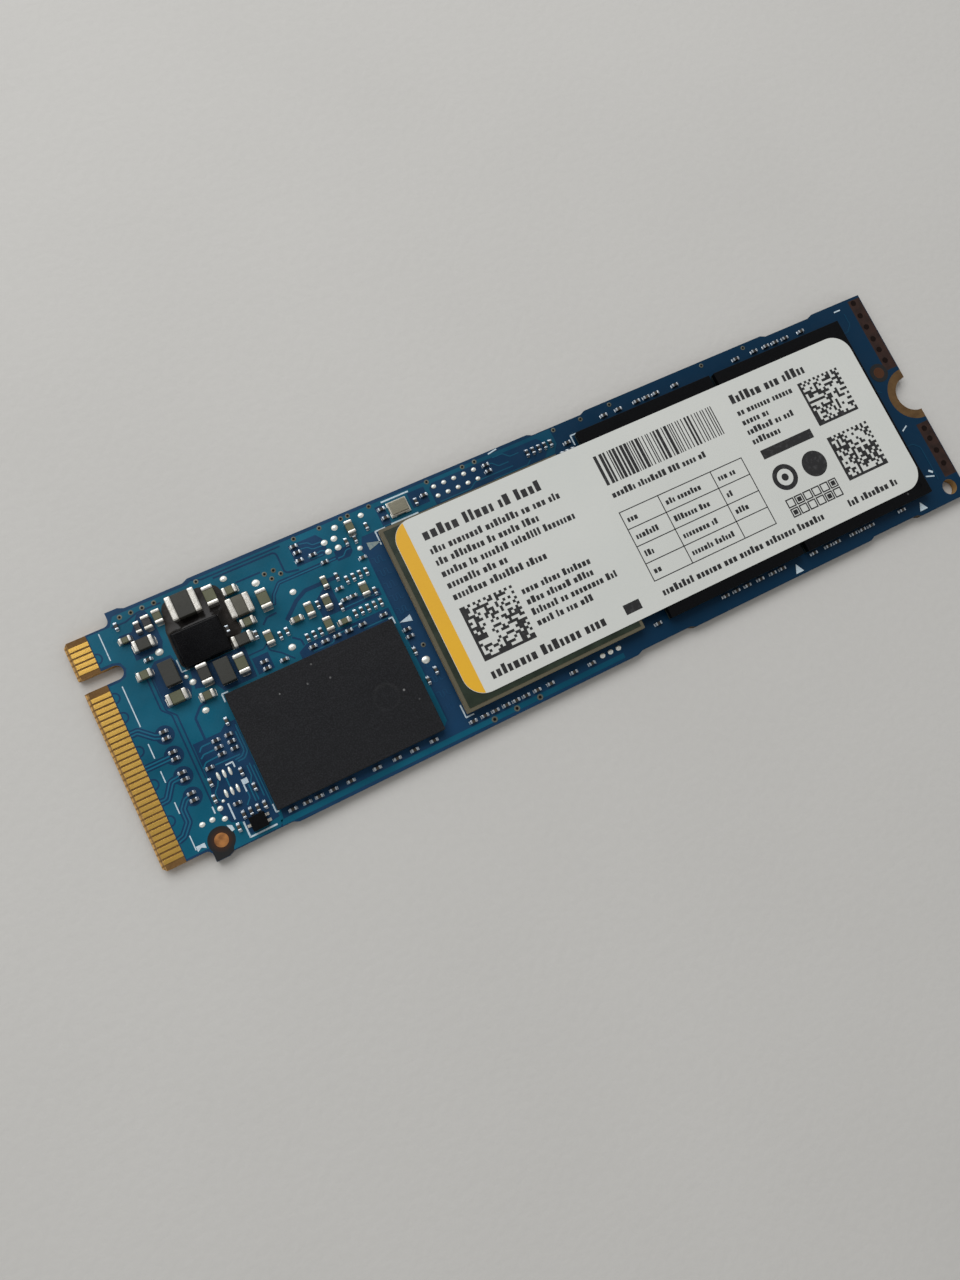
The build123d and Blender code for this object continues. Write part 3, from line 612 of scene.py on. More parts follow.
def placed(piece, slot, *nodes):
    """Let a finished piece ride with the card, and hide the nodes that it stands for. Its slot is not used.
    """
    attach(piece, BODY)
    if nodes:
        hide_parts(*nodes)
    return piece


def box_of(node):
    """Lowest and highest corner of a node, in millimetres."""
    low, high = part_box(node)
    return low / MM, high / MM


def foot(low, high):
    """Middle of a solid's underside in metres, from its corners in millimetres."""
    return Vector(((low.x + high.x) / 2, (low.y + high.y) / 2, low.z)) * MM


def dressed(node, finish):
    """Give a piece of construction its finish."""
    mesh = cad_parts[node].data
    mesh.materials.clear()
    mesh.materials.append(finish)


def construction(node):
    """A piece of construction as a shape in millimetres, with its flat faces whole again."""
    shape = bmesh.new()
    shape.from_mesh(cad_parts[node].data)
    shape.transform(Matrix.Scale(1 / MM, 4))
    bmesh.ops.remove_doubles(shape, verts=shape.verts, dist=1e-4)
    bmesh.ops.dissolve_limit(shape, angle_limit=math.radians(1), verts=shape.verts, edges=shape.edges)
    return shape


def softened(name, node, radius, finish, slot, segments=2, rim_only=False):
    """A piece of construction with its edges rounded: all of them, or those on its rim."""
    shape = construction(node)
    sharp = [e for e in shape.edges if e.is_manifold and e.calc_face_angle() > math.radians(25)]
    if rim_only:
        low, high = box_of(node)
        edges_x, edges_y = (low.x, high.x), (low.y, high.y)
        sharp = [e for e in sharp if all(on_rim(v.co, edges_x, edges_y) for v in e.verts)]
    bmesh.ops.bevel(shape, geom=sharp, offset=radius, segments=segments, profile=0.5, affect="EDGES",
                    clamp_overlap=True)
    return placed(from_shape(name, shape, finish), slot, node)


def on_rim(point, edges_x, edges_y):
    """Whether a point lies on a block's upright sides."""
    return min(abs(point.x - x) for x in edges_x) < 1e-3 or min(abs(point.y - y) for y in edges_y) < 1e-3


def islands(node):
    """Lowest and highest corners of a node's separate solids, in millimetres."""
    shape = construction(node)
    boxes, seen = [], set()
    for start in shape.verts:
        if start in seen:
            continue
        group, waiting = [], [start]
        seen.add(start)
        while waiting:
            vert = waiting.pop()
            group.append(vert.co.copy())
            for edge in vert.link_edges:
                other = edge.other_vert(vert)
                if other not in seen:
                    seen.add(other)
                    waiting.append(other)
        low = Vector([min(p[k] for p in group) for k in range(3)])
        high = Vector([max(p[k] for p in group) for k in range(3)])
        boxes.append((low, high))
    shape.free()
    return boxes


def add_block(shape, low, high, radius, segments=2):
    """Add a block with rounded edges to a shape."""
    low, high = Vector(low), Vector(high)
    verts = bmesh.ops.create_cube(shape, size=1.0)["verts"]
    for vert in verts:
        vert.co = Vector([(low[k] + high[k]) / 2 + vert.co[k] * (high[k] - low[k]) for k in range(3)])
    edges = list({e for v in verts for e in v.link_edges})
    bmesh.ops.bevel(shape, geom=edges, offset=radius, segments=segments, profile=0.5, affect="EDGES")


def add_plate(shape, outline, low, high):
    """Add a flat plate of any outline to a shape."""
    floor = [shape.verts.new((x, y, low)) for x, y in outline]
    roof = [shape.verts.new((x, y, high)) for x, y in outline]
    shape.faces.new(roof)
    shape.faces.new(list(reversed(floor)))
    for i in range(len(outline)):
        j = (i + 1) % len(outline)
        shape.faces.new((floor[i], floor[j], roof[j], roof[i]))


def add_turned(shape, profile, steps, ring=False, middle=(0.0, 0.0)):
    """Add a turned shape: profile of radius and height. A ring's profile is a closed loop."""
    turns = [2 * math.pi * i / steps for i in range(steps)]
    rows = []
    for radius, height in profile:
        around = turns if radius > 1e-6 else turns[:1]
        row = [(middle[0] + radius * math.cos(a), middle[1] + radius * math.sin(a)) for a in around]
        rows.append([shape.verts.new((x, y, height)) for x, y in row])
    pairs = list(zip(rows, rows[1:])) + ([(rows[-1], rows[0])] if ring else [])
    for lower, upper in pairs:
        for i in range(steps):
            j = (i + 1) % steps
            corners = [
                lower[i % len(lower)], lower[j % len(lower)],
                upper[j % len(upper)], upper[i % len(upper)],
            ]
            shape.faces.new(list(dict.fromkeys(corners)))
    if not ring and len(rows[0]) > 1:
        shape.faces.new(list(reversed(rows[0])))


def add_rings(shape, rings):
    """Add a closed shape through a row of rings with as many corners each."""
    rows = [[shape.verts.new(point) for point in ring] for ring in rings]
    for first, second in zip(rows, rows[1:]):
        for i in range(len(first)):
            j = (i + 1) % len(first)
            shape.faces.new((first[i], first[j], second[j], second[i]))
    shape.faces.new(list(reversed(rows[0])))
    shape.faces.new(rows[-1])


def stamped(name, shape, spots, finish, slot, *nodes):
    """Copies of one shape at many spots: each spot is a place in metres, a turn and a stretch."""
    template = from_shape(name + "_shape", shape, finish)
    mesh = bpy.data.meshes.new(name + "_points")
    mesh.from_pydata([spot[0] for spot in spots], [], [])
    mesh.attributes.new("turn", "FLOAT", "POINT").data.foreach_set("value", [spot[1] for spot in spots])
    stretch = [number for spot in spots for number in spot[2]]
    mesh.attributes.new("stretch", "FLOAT_VECTOR", "POINT").data.foreach_set("vector", stretch)
    piece = stamp_recipe().run(name, mesh, Shape=template, Finish=finish)
    bpy.data.objects.remove(template)
    return placed(piece, slot, *nodes)


def ribbons(name, lines, lift, bend, finish, slot):
    """Flat strips on the board along lines of a width and a path."""
    points, edges, widths = [], [], []
    for width, path in lines:
        first = len(points)
        points.extend(at(x, y) for x, y in path)
        widths.extend([width * MM] * len(path))
        edges.extend((i, i + 1) for i in range(first, len(points) - 1))
    mesh = bpy.data.meshes.new(name + "_lines")
    mesh.from_pydata(points, edges, [])
    mesh.attributes.new("width", "FLOAT", "POINT").data.foreach_set("value", widths)
    values = {"Bend radius": bend * MM, "Thickness": lift * MM, "Finish": finish}
    piece = ribbon_recipe().run(name, mesh, **values)
    shaded(piece.data)
    return placed(piece, slot)


def plates(name, outlines, lift, finish, slot):
    """Flat areas on the board."""
    shape = bmesh.new()
    floor = BOARD_TOP / MM
    shift = BOARD_LOW.x / MM
    for outline in outlines:
        add_plate(shape, [(x + shift, y) for x, y in outline], floor, floor + lift)
    return placed(from_shape(name, shape, finish), slot)


def colours():
    return bpy.context.scene.drive_card.colours


def sizes():
    return bpy.context.scene.drive_card.sizes


# Finishes

def mask_finish(name, light, dark):
    """Blue mask over copper or laminate: cloudy tone, faint glass weave, smudged gloss, and painted shade
    that darkens it towards the far end.
    """
    paint = Paint(name)
    cloud = paint.noise(0.22, 3.0)
    pace = 2 * math.pi / WEAVE_PITCH
    weave = paint.math("SINE", paint.axis("X") * pace) * paint.math("SINE", paint.axis("Y") * pace)
    tone = paint.blend(paint.span(cloud + weave * 0.015, 0.3, 0.72), dark, light)
    # Painted shade and sheen: the mask drawn lighter near the connector and darker towards the far end
    tone = paint.blend(paint.span(paint.axis("X"), *MASK_SHADE_FADE, 0.0, 0.8), tone, colours().mask_cloud_and_far_shade)
    roughness = paint.span(paint.noise(0.9, 4.0), 0.3, 0.75, 0.26, 0.42)
    bumps = paint.relief(weave * 0.12 + paint.noise(5.0), 0.004)
    return paint.finish(tone, roughness, bumps, Specular_IOR_Level=0.13)


@functools.cache
def board_finish():
    """Mask on both faces, and bare glass laminate on the cut edges and the tab. Painted shade darkens the
    mask towards the far end, the laminate between the gold fingers and the cut edge beyond the tab; painted
    light makes the tooling hole's wall paler.
    """
    paint = Paint("board_mask_and_laminate")
    height = paint.axis("Z")
    cut = (height > 0.02) * (height < BOARD_THICKNESS - 0.02)
    cloud = paint.span(paint.noise(0.3, 3.0), 0.3, 0.75)
    mask = paint.blend(cloud * 0.5 + 0.5, colours().mask_cloud_and_far_shade, colours().mask_bare)
    # Painted shade: the bare board's mask drawn darker towards the far end
    far_shade = paint.span(paint.axis("X") + paint.noise(0.3) * 6.0, *BOARD_SHADE_FADE)
    mask = paint.blend(far_shade, mask, colours().mask_cloud_and_far_shade)
    plies = paint.math("SINE", height * 40.0 + paint.noise(0.5) * 3.0) * 0.25 + paint.noise(6.0, 4.0)
    laminate = paint.blend(paint.span(plies, 0.2, 0.8), colours().laminate_dark, colours().laminate)
    along = paint.axis("X")
    front, back = (corner.x for corner in box_of("upper_contacts"))
    between = (along > front) * (along < back) * (paint.facing() > 0.5)
    low, high = islands("upper_contacts")[0]
    steps = paint.math("FRACT", (paint.axis("Y") - (low.y + high.y) / 2) / FINGER_PITCH + 0.5)
    ticks = paint.math("COMPARE", steps, 0.0, 0.16) + (steps > 0.84)
    # Painted shade: dark laminate between the gold fingers, with ticks of it in front of them
    laminate = paint.blend((along < front) * ticks * 0.6, laminate, colours().finger_gap_shade)
    laminate = paint.blend(between * 0.85, laminate, colours().finger_gap_shade)
    # Painted shade: the cut edge beyond the tab drawn darker than the laminate
    laminate = paint.blend(paint.span(along, back, back + 2.5), laminate, colours().laminate_edge_shade)
    # Painted light: the tooling hole's wall drawn in the pale laminate colour, as if lit from the left
    hole = paint.around(BOARD_LOW.x / MM + TOOLING_HOLE[0], TOOLING_HOLE[1]) < TOOLING_HOLE_LIGHT_REACH
    laminate = paint.blend(hole * 0.45, laminate, colours().laminate)
    roughness = paint.span(paint.noise(0.9, 4.0), 0.3, 0.75, 0.28, 0.44) + cut * 0.35
    bumps = paint.relief(paint.noise(6.0, 3.0) + cut * plies, 0.006)
    return paint.finish(paint.blend(cut, mask, laminate), roughness, bumps, Specular_IOR_Level=0.13)


@functools.cache
def gold_finish():
    """Hard gold with wipe marks along the fingers and a darker bloom."""
    paint = Paint("gold_plating")
    wipes = paint.noise(2.6, 4.0, (0.25, 6.0, 1.0))
    bloom = paint.span(paint.noise(0.8, 3.0), 0.35, 0.75)
    tone = paint.blend(paint.span(wipes, 0.3, 0.7), colours().gold, colours().gold_worn)
    colour = paint.blend(bloom * 0.5, tone, colours().gold_worn)
    bumps = paint.relief(wipes, 0.004)
    return paint.finish(colour, paint.span(wipes, 0.3, 0.75, 0.3, 0.5), bumps, Metallic=0.85)


def bare_finish(name, bright, brown, metallic, far=None):
    """Bare metal, browned in patches. What lies in the card's far half may have a colour of its own."""
    paint = Paint(name)
    patches = paint.span(paint.noise(1.3, 4.0), 0.35, 0.7)
    tone = paint.blend(patches, bright, brown)
    if far:
        tone = paint.blend(paint.axis("X") > 0.0, tone, far)
    bumps = paint.relief(paint.noise(7.0, 3.0), 0.006)
    roughness = paint.span(patches, 0.0, 1.0, 0.38, 0.6)
    return paint.finish(tone, roughness, bumps, Metallic=metallic, Specular_IOR_Level=0.25)


@functools.cache
def copper_finish():
    return bare_finish("bare_copper", colours().copper, colours().copper_browned, 0.6, colours().copper_far)


@functools.cache
def pad_finish():
    return bare_finish("worn_pad", colours().pad, colours().pad_worn, 0.8)


@functools.cache
def strip_finish():
    return bare_finish("browned_strip", colours().strip_light, colours().strip, 0.2)


@functools.cache
def ring_finish():
    return bare_finish("via_ring", colours().via, colours().via_dull, 0.3)


def clearing_finish(x, y, inner, outer):
    """Bare laminate round an alignment disc: brown beside the disc, near black further out."""
    paint = Paint("bare_clearing")
    away = paint.around(x, y) + paint.noise(2.5, 3.0) * 0.2
    tone = paint.blend(paint.span(away, inner, outer), colours().clearing_inner, colours().clearing)
    return paint.finish(tone, 0.6, paint.relief(paint.noise(6.0, 3.0), 0.006), Specular_IOR_Level=0.2)


def metal_finish(name, bright, dull, rough, grain, metallic=0.9):
    """Tin or solder: bright metal with dull patches and a fine grain."""
    paint = Paint(name)
    patches = paint.span(paint.noise(2.2, 3.0), 0.35, 0.7)
    bumps = paint.relief(paint.noise(grain, 3.0), 0.005)
    roughness = paint.span(patches, 0.0, 1.0, rough, rough + 0.16)
    return paint.finish(paint.blend(patches, bright, dull), roughness, bumps, Metallic=metallic)


@functools.cache
def tin_finish():
    return metal_finish("tin_ends", colours().tin, colours().tin_dull, 0.28, 9.0)


@functools.cache
def tiny_tin_finish():
    return metal_finish("tiny_tin_ends", colours().tin_cool, colours().tin_cool_dull, 0.28, 9.0)


@functools.cache
def solder_finish():
    return metal_finish("solder", colours().solder, colours().solder_dull, 0.3, 5.0, 0.5)


def mould_finish(name, colour, fleck, rough, grain_depth, dust, shine, smear=None):
    """Moulded black epoxy: fine grain, pale flecks, faint streaks, a little dust and maybe a round smear."""
    paint = Paint(name)
    streaks = paint.span(paint.noise(0.9, 3.0, (0.3, 3.0, 1.0)), 0.55, 0.8)
    grain = paint.noise(9.0, 4.0)
    cloud = paint.noise(0.25, 3.0)
    tone = paint.blend(paint.span(grain, 0.42, 0.78) * 0.85 + streaks * 0.15, colour, fleck)
    dusty = paint.specks(0.55, 0.065) * paint.span(paint.noise(0.35), 0.46, 0.56) * dust
    tone = paint.blend(dusty, tone, colours().dust)
    if smear:
        x, y, radius = smear
        off_ring = paint.math("ABSOLUTE", paint.around(x, y) - radius) + paint.noise(1.2) * 0.8
        tone = paint.blend(paint.span(off_ring, 0.6, 0.3, 0.0, 0.025), tone, colours().dust)
    bumps = paint.relief(grain, grain_depth)
    roughness = paint.span(cloud, 0.3, 0.7, rough - 0.06, rough + 0.08)
    return paint.finish(tone, roughness, bumps, Specular_IOR_Level=shine)


@functools.cache
def memory_finish():
    smear = (BOARD_LOW.x / MM + SMEAR_PLACE[0], SMEAR_PLACE[1], SMEAR_RADIUS)
    return mould_finish("memory_mould", colours().memory, colours().memory_fleck, 0.62, 0.02, 1.0, 0.2, smear)


@functools.cache
def flash_finish():
    return mould_finish("flash_mould", colours().flash, colours().flash_fleck, 0.48, 0.008, 0.5, 0.08)


@functools.cache
def power_chip_finish():
    black, fleck = colours().power_chip, colours().flash_fleck
    return mould_finish("power_chip_mould", black, fleck, 0.2, 0.004, 0.0, 0.12)


@functools.cache
def substrate_finish():
    """Edge of a package's own small board."""
    paint = Paint("chip_substrate")
    plies = paint.math("SINE", paint.axis("Z") * 90.0) * 0.2 + paint.noise(5.0, 3.0)
    colour = paint.blend(paint.span(plies, 0.2, 0.8), colours().substrate, colours().cover)
    return paint.finish(colour, 0.5, paint.relief(plies, 0.006))


@functools.cache
def rim_finish():
    """Tan cut edge of the controller's package, with plies and fibres."""
    paint = Paint("tan_laminate")
    fibres = paint.noise(3.0, 4.0, (1.0, 1.0, 7.0))
    plies = paint.math("SINE", paint.axis("Z") * 34.0 + fibres * 2.0) * 0.25 + fibres
    side = paint.blend(paint.span(plies, 0.15, 0.85), colours().rim_dark, colours().rim)
    colour = paint.blend(paint.span(paint.facing(), 0.4, 0.8), side, colours().rim_top)
    return paint.finish(colour, paint.span(fibres, 0.3, 0.7, 0.5, 0.7), paint.relief(plies, 0.01))


@functools.cache
def cover_finish():
    """Dark green satin top of the controller."""
    paint = Paint("green_cover")
    cloud = paint.noise(0.8, 4.0)
    top = paint.blend(paint.span(cloud, 0.3, 0.75), colours().cover, colours().cover_light)
    colour = paint.blend(paint.span(paint.facing(), 0.4, 0.8), colours().rim, top)
    bumps = paint.relief(paint.noise(8.0, 2.0), 0.004)
    return paint.finish(colour, paint.span(cloud, 0.3, 0.7, 0.3, 0.42), bumps)


def paper_finish(name, colour, shade):
    """Satin label paper: faint cloud, fine fibre."""
    paint = Paint(name)
    fibre = paint.noise(4.0, 5.0, (1.0, 2.5, 1.0))
    cloud = paint.span(paint.noise(0.12, 3.0), 0.3, 0.75)
    tone = paint.blend(cloud * 0.7 + paint.span(fibre, 0.4, 0.8) * 0.3, colour, shade)
    return paint.finish(tone, paint.span(cloud, 0.0, 1.0, 0.42, 0.52), paint.relief(fibre, 0.003))


@functools.cache
def ink_finish():
    """Black print, a little thin in places."""
    paint = Paint("label_ink")
    thin = paint.span(paint.noise(3.0, 4.0), 0.52, 0.8)
    return paint.finish(paint.blend(thin, colours().ink, colours().ink_thin), 0.5, paint.relief(thin, 0.002))


def fired_finish(name, colour, shade, rough, patch):
    """Fired or pressed body of a small part: each a little different, with a fine grain."""
    paint = Paint(name)
    each = paint.span(paint.noise(patch, 1.0), 0.35, 0.68)
    grain = paint.noise(11.0, 3.0)
    tone = paint.blend(each * 0.7 + grain * 0.3, colour, shade)
    return paint.finish(tone, paint.span(grain, 0.3, 0.7, rough, rough + 0.14), paint.relief(grain, 0.01))


@functools.cache
def capacitor_finish():
    return fired_finish("capacitor_ceramic", colours().capacitor, colours().capacitor_dark, 0.38, 0.45)


@functools.cache
def tiny_capacitor_finish():
    # Partly painted shade: the tiny bodies are drawn darker, for their own dark ceramic and for the shade
    # that they sit in
    brown, black = colours().capacitor_tiny, colours().capacitor_black_and_shade
    return fired_finish("tiny_capacitor_ceramic", brown, black, 0.42, 0.7)


@functools.cache
def resistor_finish():
    return fired_finish("resistor_glaze", colours().resistor, colours().memory, 0.3, 0.5)


@functools.cache
def ferrite_finish():
    return fired_finish("ferrite", colours().ferrite, colours().ferrite_dark, 0.5, 0.4)


@functools.cache
def light_ferrite_finish():
    return fired_finish("light_ferrite", colours().ferrite_light, colours().ferrite, 0.5, 0.4)


@functools.cache
def moulded_finish():
    return fired_finish("moulded_inductor", colours().moulded, colours().ferrite_dark, 0.55, 0.3)


@functools.cache
def ceramic_finish():
    return fired_finish("white_ceramic", colours().ceramic, colours().tin_dull, 0.5, 0.6)


@functools.cache
def lid_finish():
    """Brushed plated lid of the crystal."""
    paint = Paint("crystal_lid_plating")
    brush = paint.noise(9.0, 4.0, (0.3, 6.0, 1.0))
    colour = paint.blend(paint.span(brush, 0.3, 0.7), colours().lid, colours().lid_dull)
    roughness = paint.span(brush, 0.3, 0.7, 0.3, 0.45)
    return paint.finish(colour, roughness, paint.relief(brush, 0.0015), Metallic=0.8)


@functools.cache
def epoxy_finish():
    """Glossy black epoxy, brown where it is thin."""
    paint = Paint("black_epoxy")
    height = paint.axis("Z") + paint.noise(1.5, 3.0) * 0.15
    thick = paint.span(height, BOARD_THICKNESS + 0.02, BOARD_THICKNESS + 0.3)
    colour = paint.blend(thick, colours().epoxy_thin, colours().epoxy)
    bumps = paint.relief(paint.noise(1.6, 2.0), 0.03)
    return paint.finish(colour, paint.span(thick, 0.0, 1.0, 0.42, 0.2), bumps, Specular_IOR_Level=0.2)


def print_finish(name, colour, thin_colour):
    """Screen print, thin at the grain of the mask."""
    paint = Paint(name)
    thin = paint.span(paint.noise(5.0, 4.0), 0.5, 0.85)
    return paint.finish(paint.blend(thin, colour, thin_colour), 0.55, paint.relief(thin, 0.004))


@functools.cache
def silk_finish():
    return print_finish("screen_print", colours().silk, colours().silk_thin)


@functools.cache
def faint_finish():
    return print_finish("faint_print", colours().silk_faint, colours().mask_track)


@functools.cache
def hole_shade_finish():
    """Dark disc of painted shade for the inside of a plated hole."""
    paint = Paint("plated_hole")
    shade = paint.noise(6.0, 2.0)
    colour = paint.blend(shade * 0.3, colours().hole, colours().strip_light)
    return paint.finish(colour, 0.7, Specular_IOR_Level=0.05)


@functools.cache
def pour_finish():
    return mask_finish("mask_over_copper", colours().mask_copper, colours().mask_copper_dark)


@functools.cache
def bare_mask_finish():
    return mask_finish("mask_over_laminate", colours().mask_bare, colours().mask_bare_dark)


@functools.cache
def track_finish():
    return mask_finish("mask_over_track", colours().mask_track, colours().mask_copper)


@functools.cache
def matched_finish():
    return mask_finish("mask_over_matched_track", colours().mask_matched, colours().mask_bare)


# Settings

def length(name, description, millimetres):
    """Size that a user may change."""
    return bpy.props.FloatProperty(
        name=name, description=description, default=millimetres * MM, min=0.0, precision=6, unit="LENGTH")


def colour(name, description, red, green, blue):
    """Colour that a user may change."""
    return bpy.props.FloatVectorProperty(
        name=name, description=description, default=srgb(red, green, blue), size=4, min=0.0, max=1.0,
        subtype="COLOR")


class CardSizes(bpy.types.PropertyGroup):
    """Sizes of the finish: roundings, layers and small trim."""

    package_edge: length("Package edge", "Rounding of the moulded packages' edges", 0.05)
    part_edge: length("Part edge", "Rounding of inductors and other large parts", 0.1)
    fine_edge: length("Fine edge", "Rounding of thin plates and contacts", 0.012)
    track_bend: length("Track bend", "Radius of the tracks' bends", 0.35)
    silk_bend: length("Print bend", "Radius of the screen print's bends", 0.02)
    via_ring: length("Via ring", "Outer radius of a plated hole's ring", 0.21)
    via_hole: length("Via hole", "Radius of a plated hole", 0.11)
    fillet_reach: length("Solder fillet", "How far solder runs out from a tiny part's end", 0.09)
    label_corner: length("Label corner", "Radius of the label's corners", 1.9)
    stripe_width: length("Stripe width", "Width of the coloured stripe on the label", 1.3)
    label_relief: length("Label print", "Thickness of the print on the label", 0.004)


class CardColours(bpy.types.PropertyGroup):
    """Colours of the finishes."""

    mask_copper: colour("Mask on copper", "Mask where copper lies under it", 20, 96, 121)
    mask_copper_dark: colour("Mask on copper, dark", "Darker clouds of the same", 10, 78, 100)
    mask_bare: colour("Mask on laminate", "Mask where no copper lies under it", 29, 65, 99)
    mask_bare_dark: colour("Mask on laminate, dark", "Darker clouds of the same", 16, 48, 78)
    # Painted shade: the mask towards the far end, also the darker clouds of the bare board
    mask_cloud_and_far_shade: colour("Mask, far end", "Mask towards the far end", 7, 43, 68)
    mask_track: colour("Mask on tracks", "Mask over single tracks", 36, 92, 120)
    mask_matched: colour("Mask on matched tracks", "Mask over the fine bends", 30, 76, 107)
    laminate: colour("Laminate", "Cut glass laminate", 198, 156, 96)
    laminate_dark: colour("Laminate, dark", "Its darker plies", 126, 98, 60)
    # Painted shade: the board's cut edge beyond the tab, drawn dark
    laminate_edge_shade: colour("Laminate edge", "Cut edge of the board beyond the tab", 66, 56, 42)
    gold: colour("Gold", "Hard gold", 213, 174, 88)
    gold_worn: colour("Gold, worn", "Gold in its wipe marks", 190, 150, 72)
    copper: colour("Copper", "Bare copper", 196, 134, 78)
    copper_browned: colour("Copper, browned", "Bare copper gone brown", 120, 80, 50)
    copper_far: colour("Copper, far end", "Alignment disc at the far end", 84, 54, 37)
    pad: colour("Screw pad", "Worn plating of the screw pads", 126, 99, 66)
    pad_worn: colour("Screw pad, worn", "Where it has worn through", 98, 75, 50)
    tin: colour("Tin", "Bright tin on the parts' ends", 226, 224, 218)
    tin_dull: colour("Tin, dull", "Duller patches", 178, 175, 166)
    tin_cool: colour("Tin, tiny ends", "Bright tin on the tiny parts", 214, 222, 229)
    tin_cool_dull: colour("Tin, tiny ends, dull", "Duller patches of the same", 160, 169, 176)
    solder: colour("Solder", "Domes of solder", 241, 243, 237)
    solder_dull: colour("Solder, dull", "Duller patches of the same", 212, 215, 207)
    memory: colour("Memory chip", "Moulded body of the memory chip", 17, 18, 21)
    memory_fleck: colour("Memory chip flecks", "Pale flecks in it", 40, 41, 45)
    flash: colour("Flash chips", "Moulded body of the flash chips", 5, 6, 8)
    flash_fleck: colour("Flash chip flecks", "Pale flecks in it", 15, 16, 19)
    power_chip: colour("Power chip", "Moulded body of the power chip", 5, 5, 7)
    dust: colour("Dust", "Specks of dust", 150, 150, 150)
    substrate: colour("Substrate", "Packages' own small boards", 34, 40, 38)
    rim: colour("Controller rim", "Cut edge of the controller's package", 150, 136, 104)
    rim_dark: colour("Controller rim, dark", "Its darker plies", 104, 92, 68)
    rim_top: colour("Controller ledge", "Ledge round the controller's top", 84, 79, 60)
    cover: colour("Controller top", "Dark green top of the controller", 23, 34, 22)
    cover_light: colour("Controller top, light", "Its lighter clouds", 34, 47, 31)
    paper: colour("Label", "Label paper", 208, 210, 206)
    paper_shade: colour("Label, shade", "Fainter clouds of the label paper", 200, 203, 199)
    stripe: colour("Label stripe", "Coloured stripe at the label's end", 226, 174, 38)
    stripe_shade: colour("Label stripe, shade", "Its darker clouds", 218, 164, 32)
    ink: colour("Ink", "Print on the label", 22, 22, 24)
    ink_thin: colour("Ink, thin", "Print where it is thin", 58, 58, 60)
    capacitor: colour("Capacitor", "Ceramic of the capacitors", 92, 94, 68)
    capacitor_dark: colour("Capacitor, dark", "Darker ceramic", 72, 74, 52)
    capacitor_tiny: colour("Capacitor, tiny", "Ceramic of the tiny capacitors", 66, 60, 49)
    # Partly painted shade: own dark ceramic, and the shade round the tiny parts
    capacitor_black_and_shade: colour("Capacitor, black", "Darkest of the tiny capacitors", 32, 29, 26)
    resistor: colour("Resistor", "Glaze of the resistors", 26, 26, 30)
    ferrite: colour("Ferrite", "Inductor cores", 42, 42, 35)
    ferrite_light: colour("Ferrite, light", "Core of the medium inductor", 110, 107, 92)
    ferrite_dark: colour("Ferrite, dark", "Darker patches", 34, 34, 29)
    moulded: colour("Moulded inductor", "Plain grey inductors", 41, 42, 37)
    ceramic: colour("Ceramic", "Base of the crystal", 196, 192, 180)
    lid: colour("Lid", "Lid of the crystal", 142, 139, 122)
    lid_dull: colour("Lid, dull", "Brush marks in the lid", 114, 111, 98)
    epoxy: colour("Epoxy", "Epoxy round the power chip", 20, 18, 18)
    epoxy_thin: colour("Epoxy, thin", "Epoxy at its thin edge", 40, 35, 31)
    silk: colour("Screen print", "White lines on the board", 192, 208, 217)
    silk_thin: colour("Screen print, thin", "Lines where they are thin", 132, 162, 180)
    # Drawn duller and greener than the rest of the print
    silk_faint: colour("Screen print, faint", "Print that has worn thin", 128, 142, 138)
    # Painted shade between the gold fingers
    finger_gap_shade: colour("Finger gap", "Laminate between the gold fingers", 88, 62, 34)
    strip: colour("Ground strip", "Browned strips along the far end", 36, 23, 19)
    strip_light: colour("Ground strip, light", "Lighter patches of the strips", 56, 37, 31)
    clearing: colour("Clearing", "Bare rings round the alignment discs", 30, 31, 32)
    clearing_inner: colour("Clearing, inner", "The same, close to a disc", 62, 35, 20)
    via: colour("Via ring", "Rings of the plated holes", 108, 112, 104)
    via_dull: colour("Via ring, dull", "Their duller patches", 80, 82, 72)
    # Painted shade: the dark inside of the plated holes
    hole: colour("Plated hole", "Inside of the plated holes", 16, 13, 12)
    floor: colour("Floor", "Paper that the card lies on", 200, 199, 196)
    floor_shade: colour("Floor, shade", "Clouds in that paper", 195, 194, 191)


class CardStage(bpy.types.PropertyGroup):
    """Camera and light."""

    camera_place: bpy.props.FloatVectorProperty(
        name="Camera place", description="Where the camera stands", default=(-0.027117, -0.012347, 0.0821),
        subtype="TRANSLATION", unit="LENGTH")
    camera_aim: bpy.props.FloatVectorProperty(
        name="Camera aim", description="What the camera looks at", default=(-0.009127, -0.003923, 0.0008),
        subtype="TRANSLATION", unit="LENGTH")
    camera_roll: bpy.props.FloatProperty(
        name="Camera roll", description="Turn of the camera about its view", default=math.radians(26.3812),
        subtype="ANGLE", unit="ROTATION")
    lens: bpy.props.FloatProperty(
        name="Lens", description="Focal length on a sensor of 36 mm", default=27.607, unit="CAMERA")
    window_power: bpy.props.FloatProperty(
        name="Window light", description="Power of the large soft light", default=1.2, unit="POWER")
    room_level: bpy.props.FloatProperty(
        name="Room light", description="Brightness of the walls round the card", default=0.66)
    ceiling_level: bpy.props.FloatProperty(
        name="Ceiling light", description="Brightness straight above the card", default=0.22)


class CardSettings(bpy.types.PropertyGroup):
    """All settings of the card."""

    sizes: bpy.props.PointerProperty(type=CardSizes)
    colours: bpy.props.PointerProperty(type=CardColours)
    stage: bpy.props.PointerProperty(type=CardStage)


# Pieces

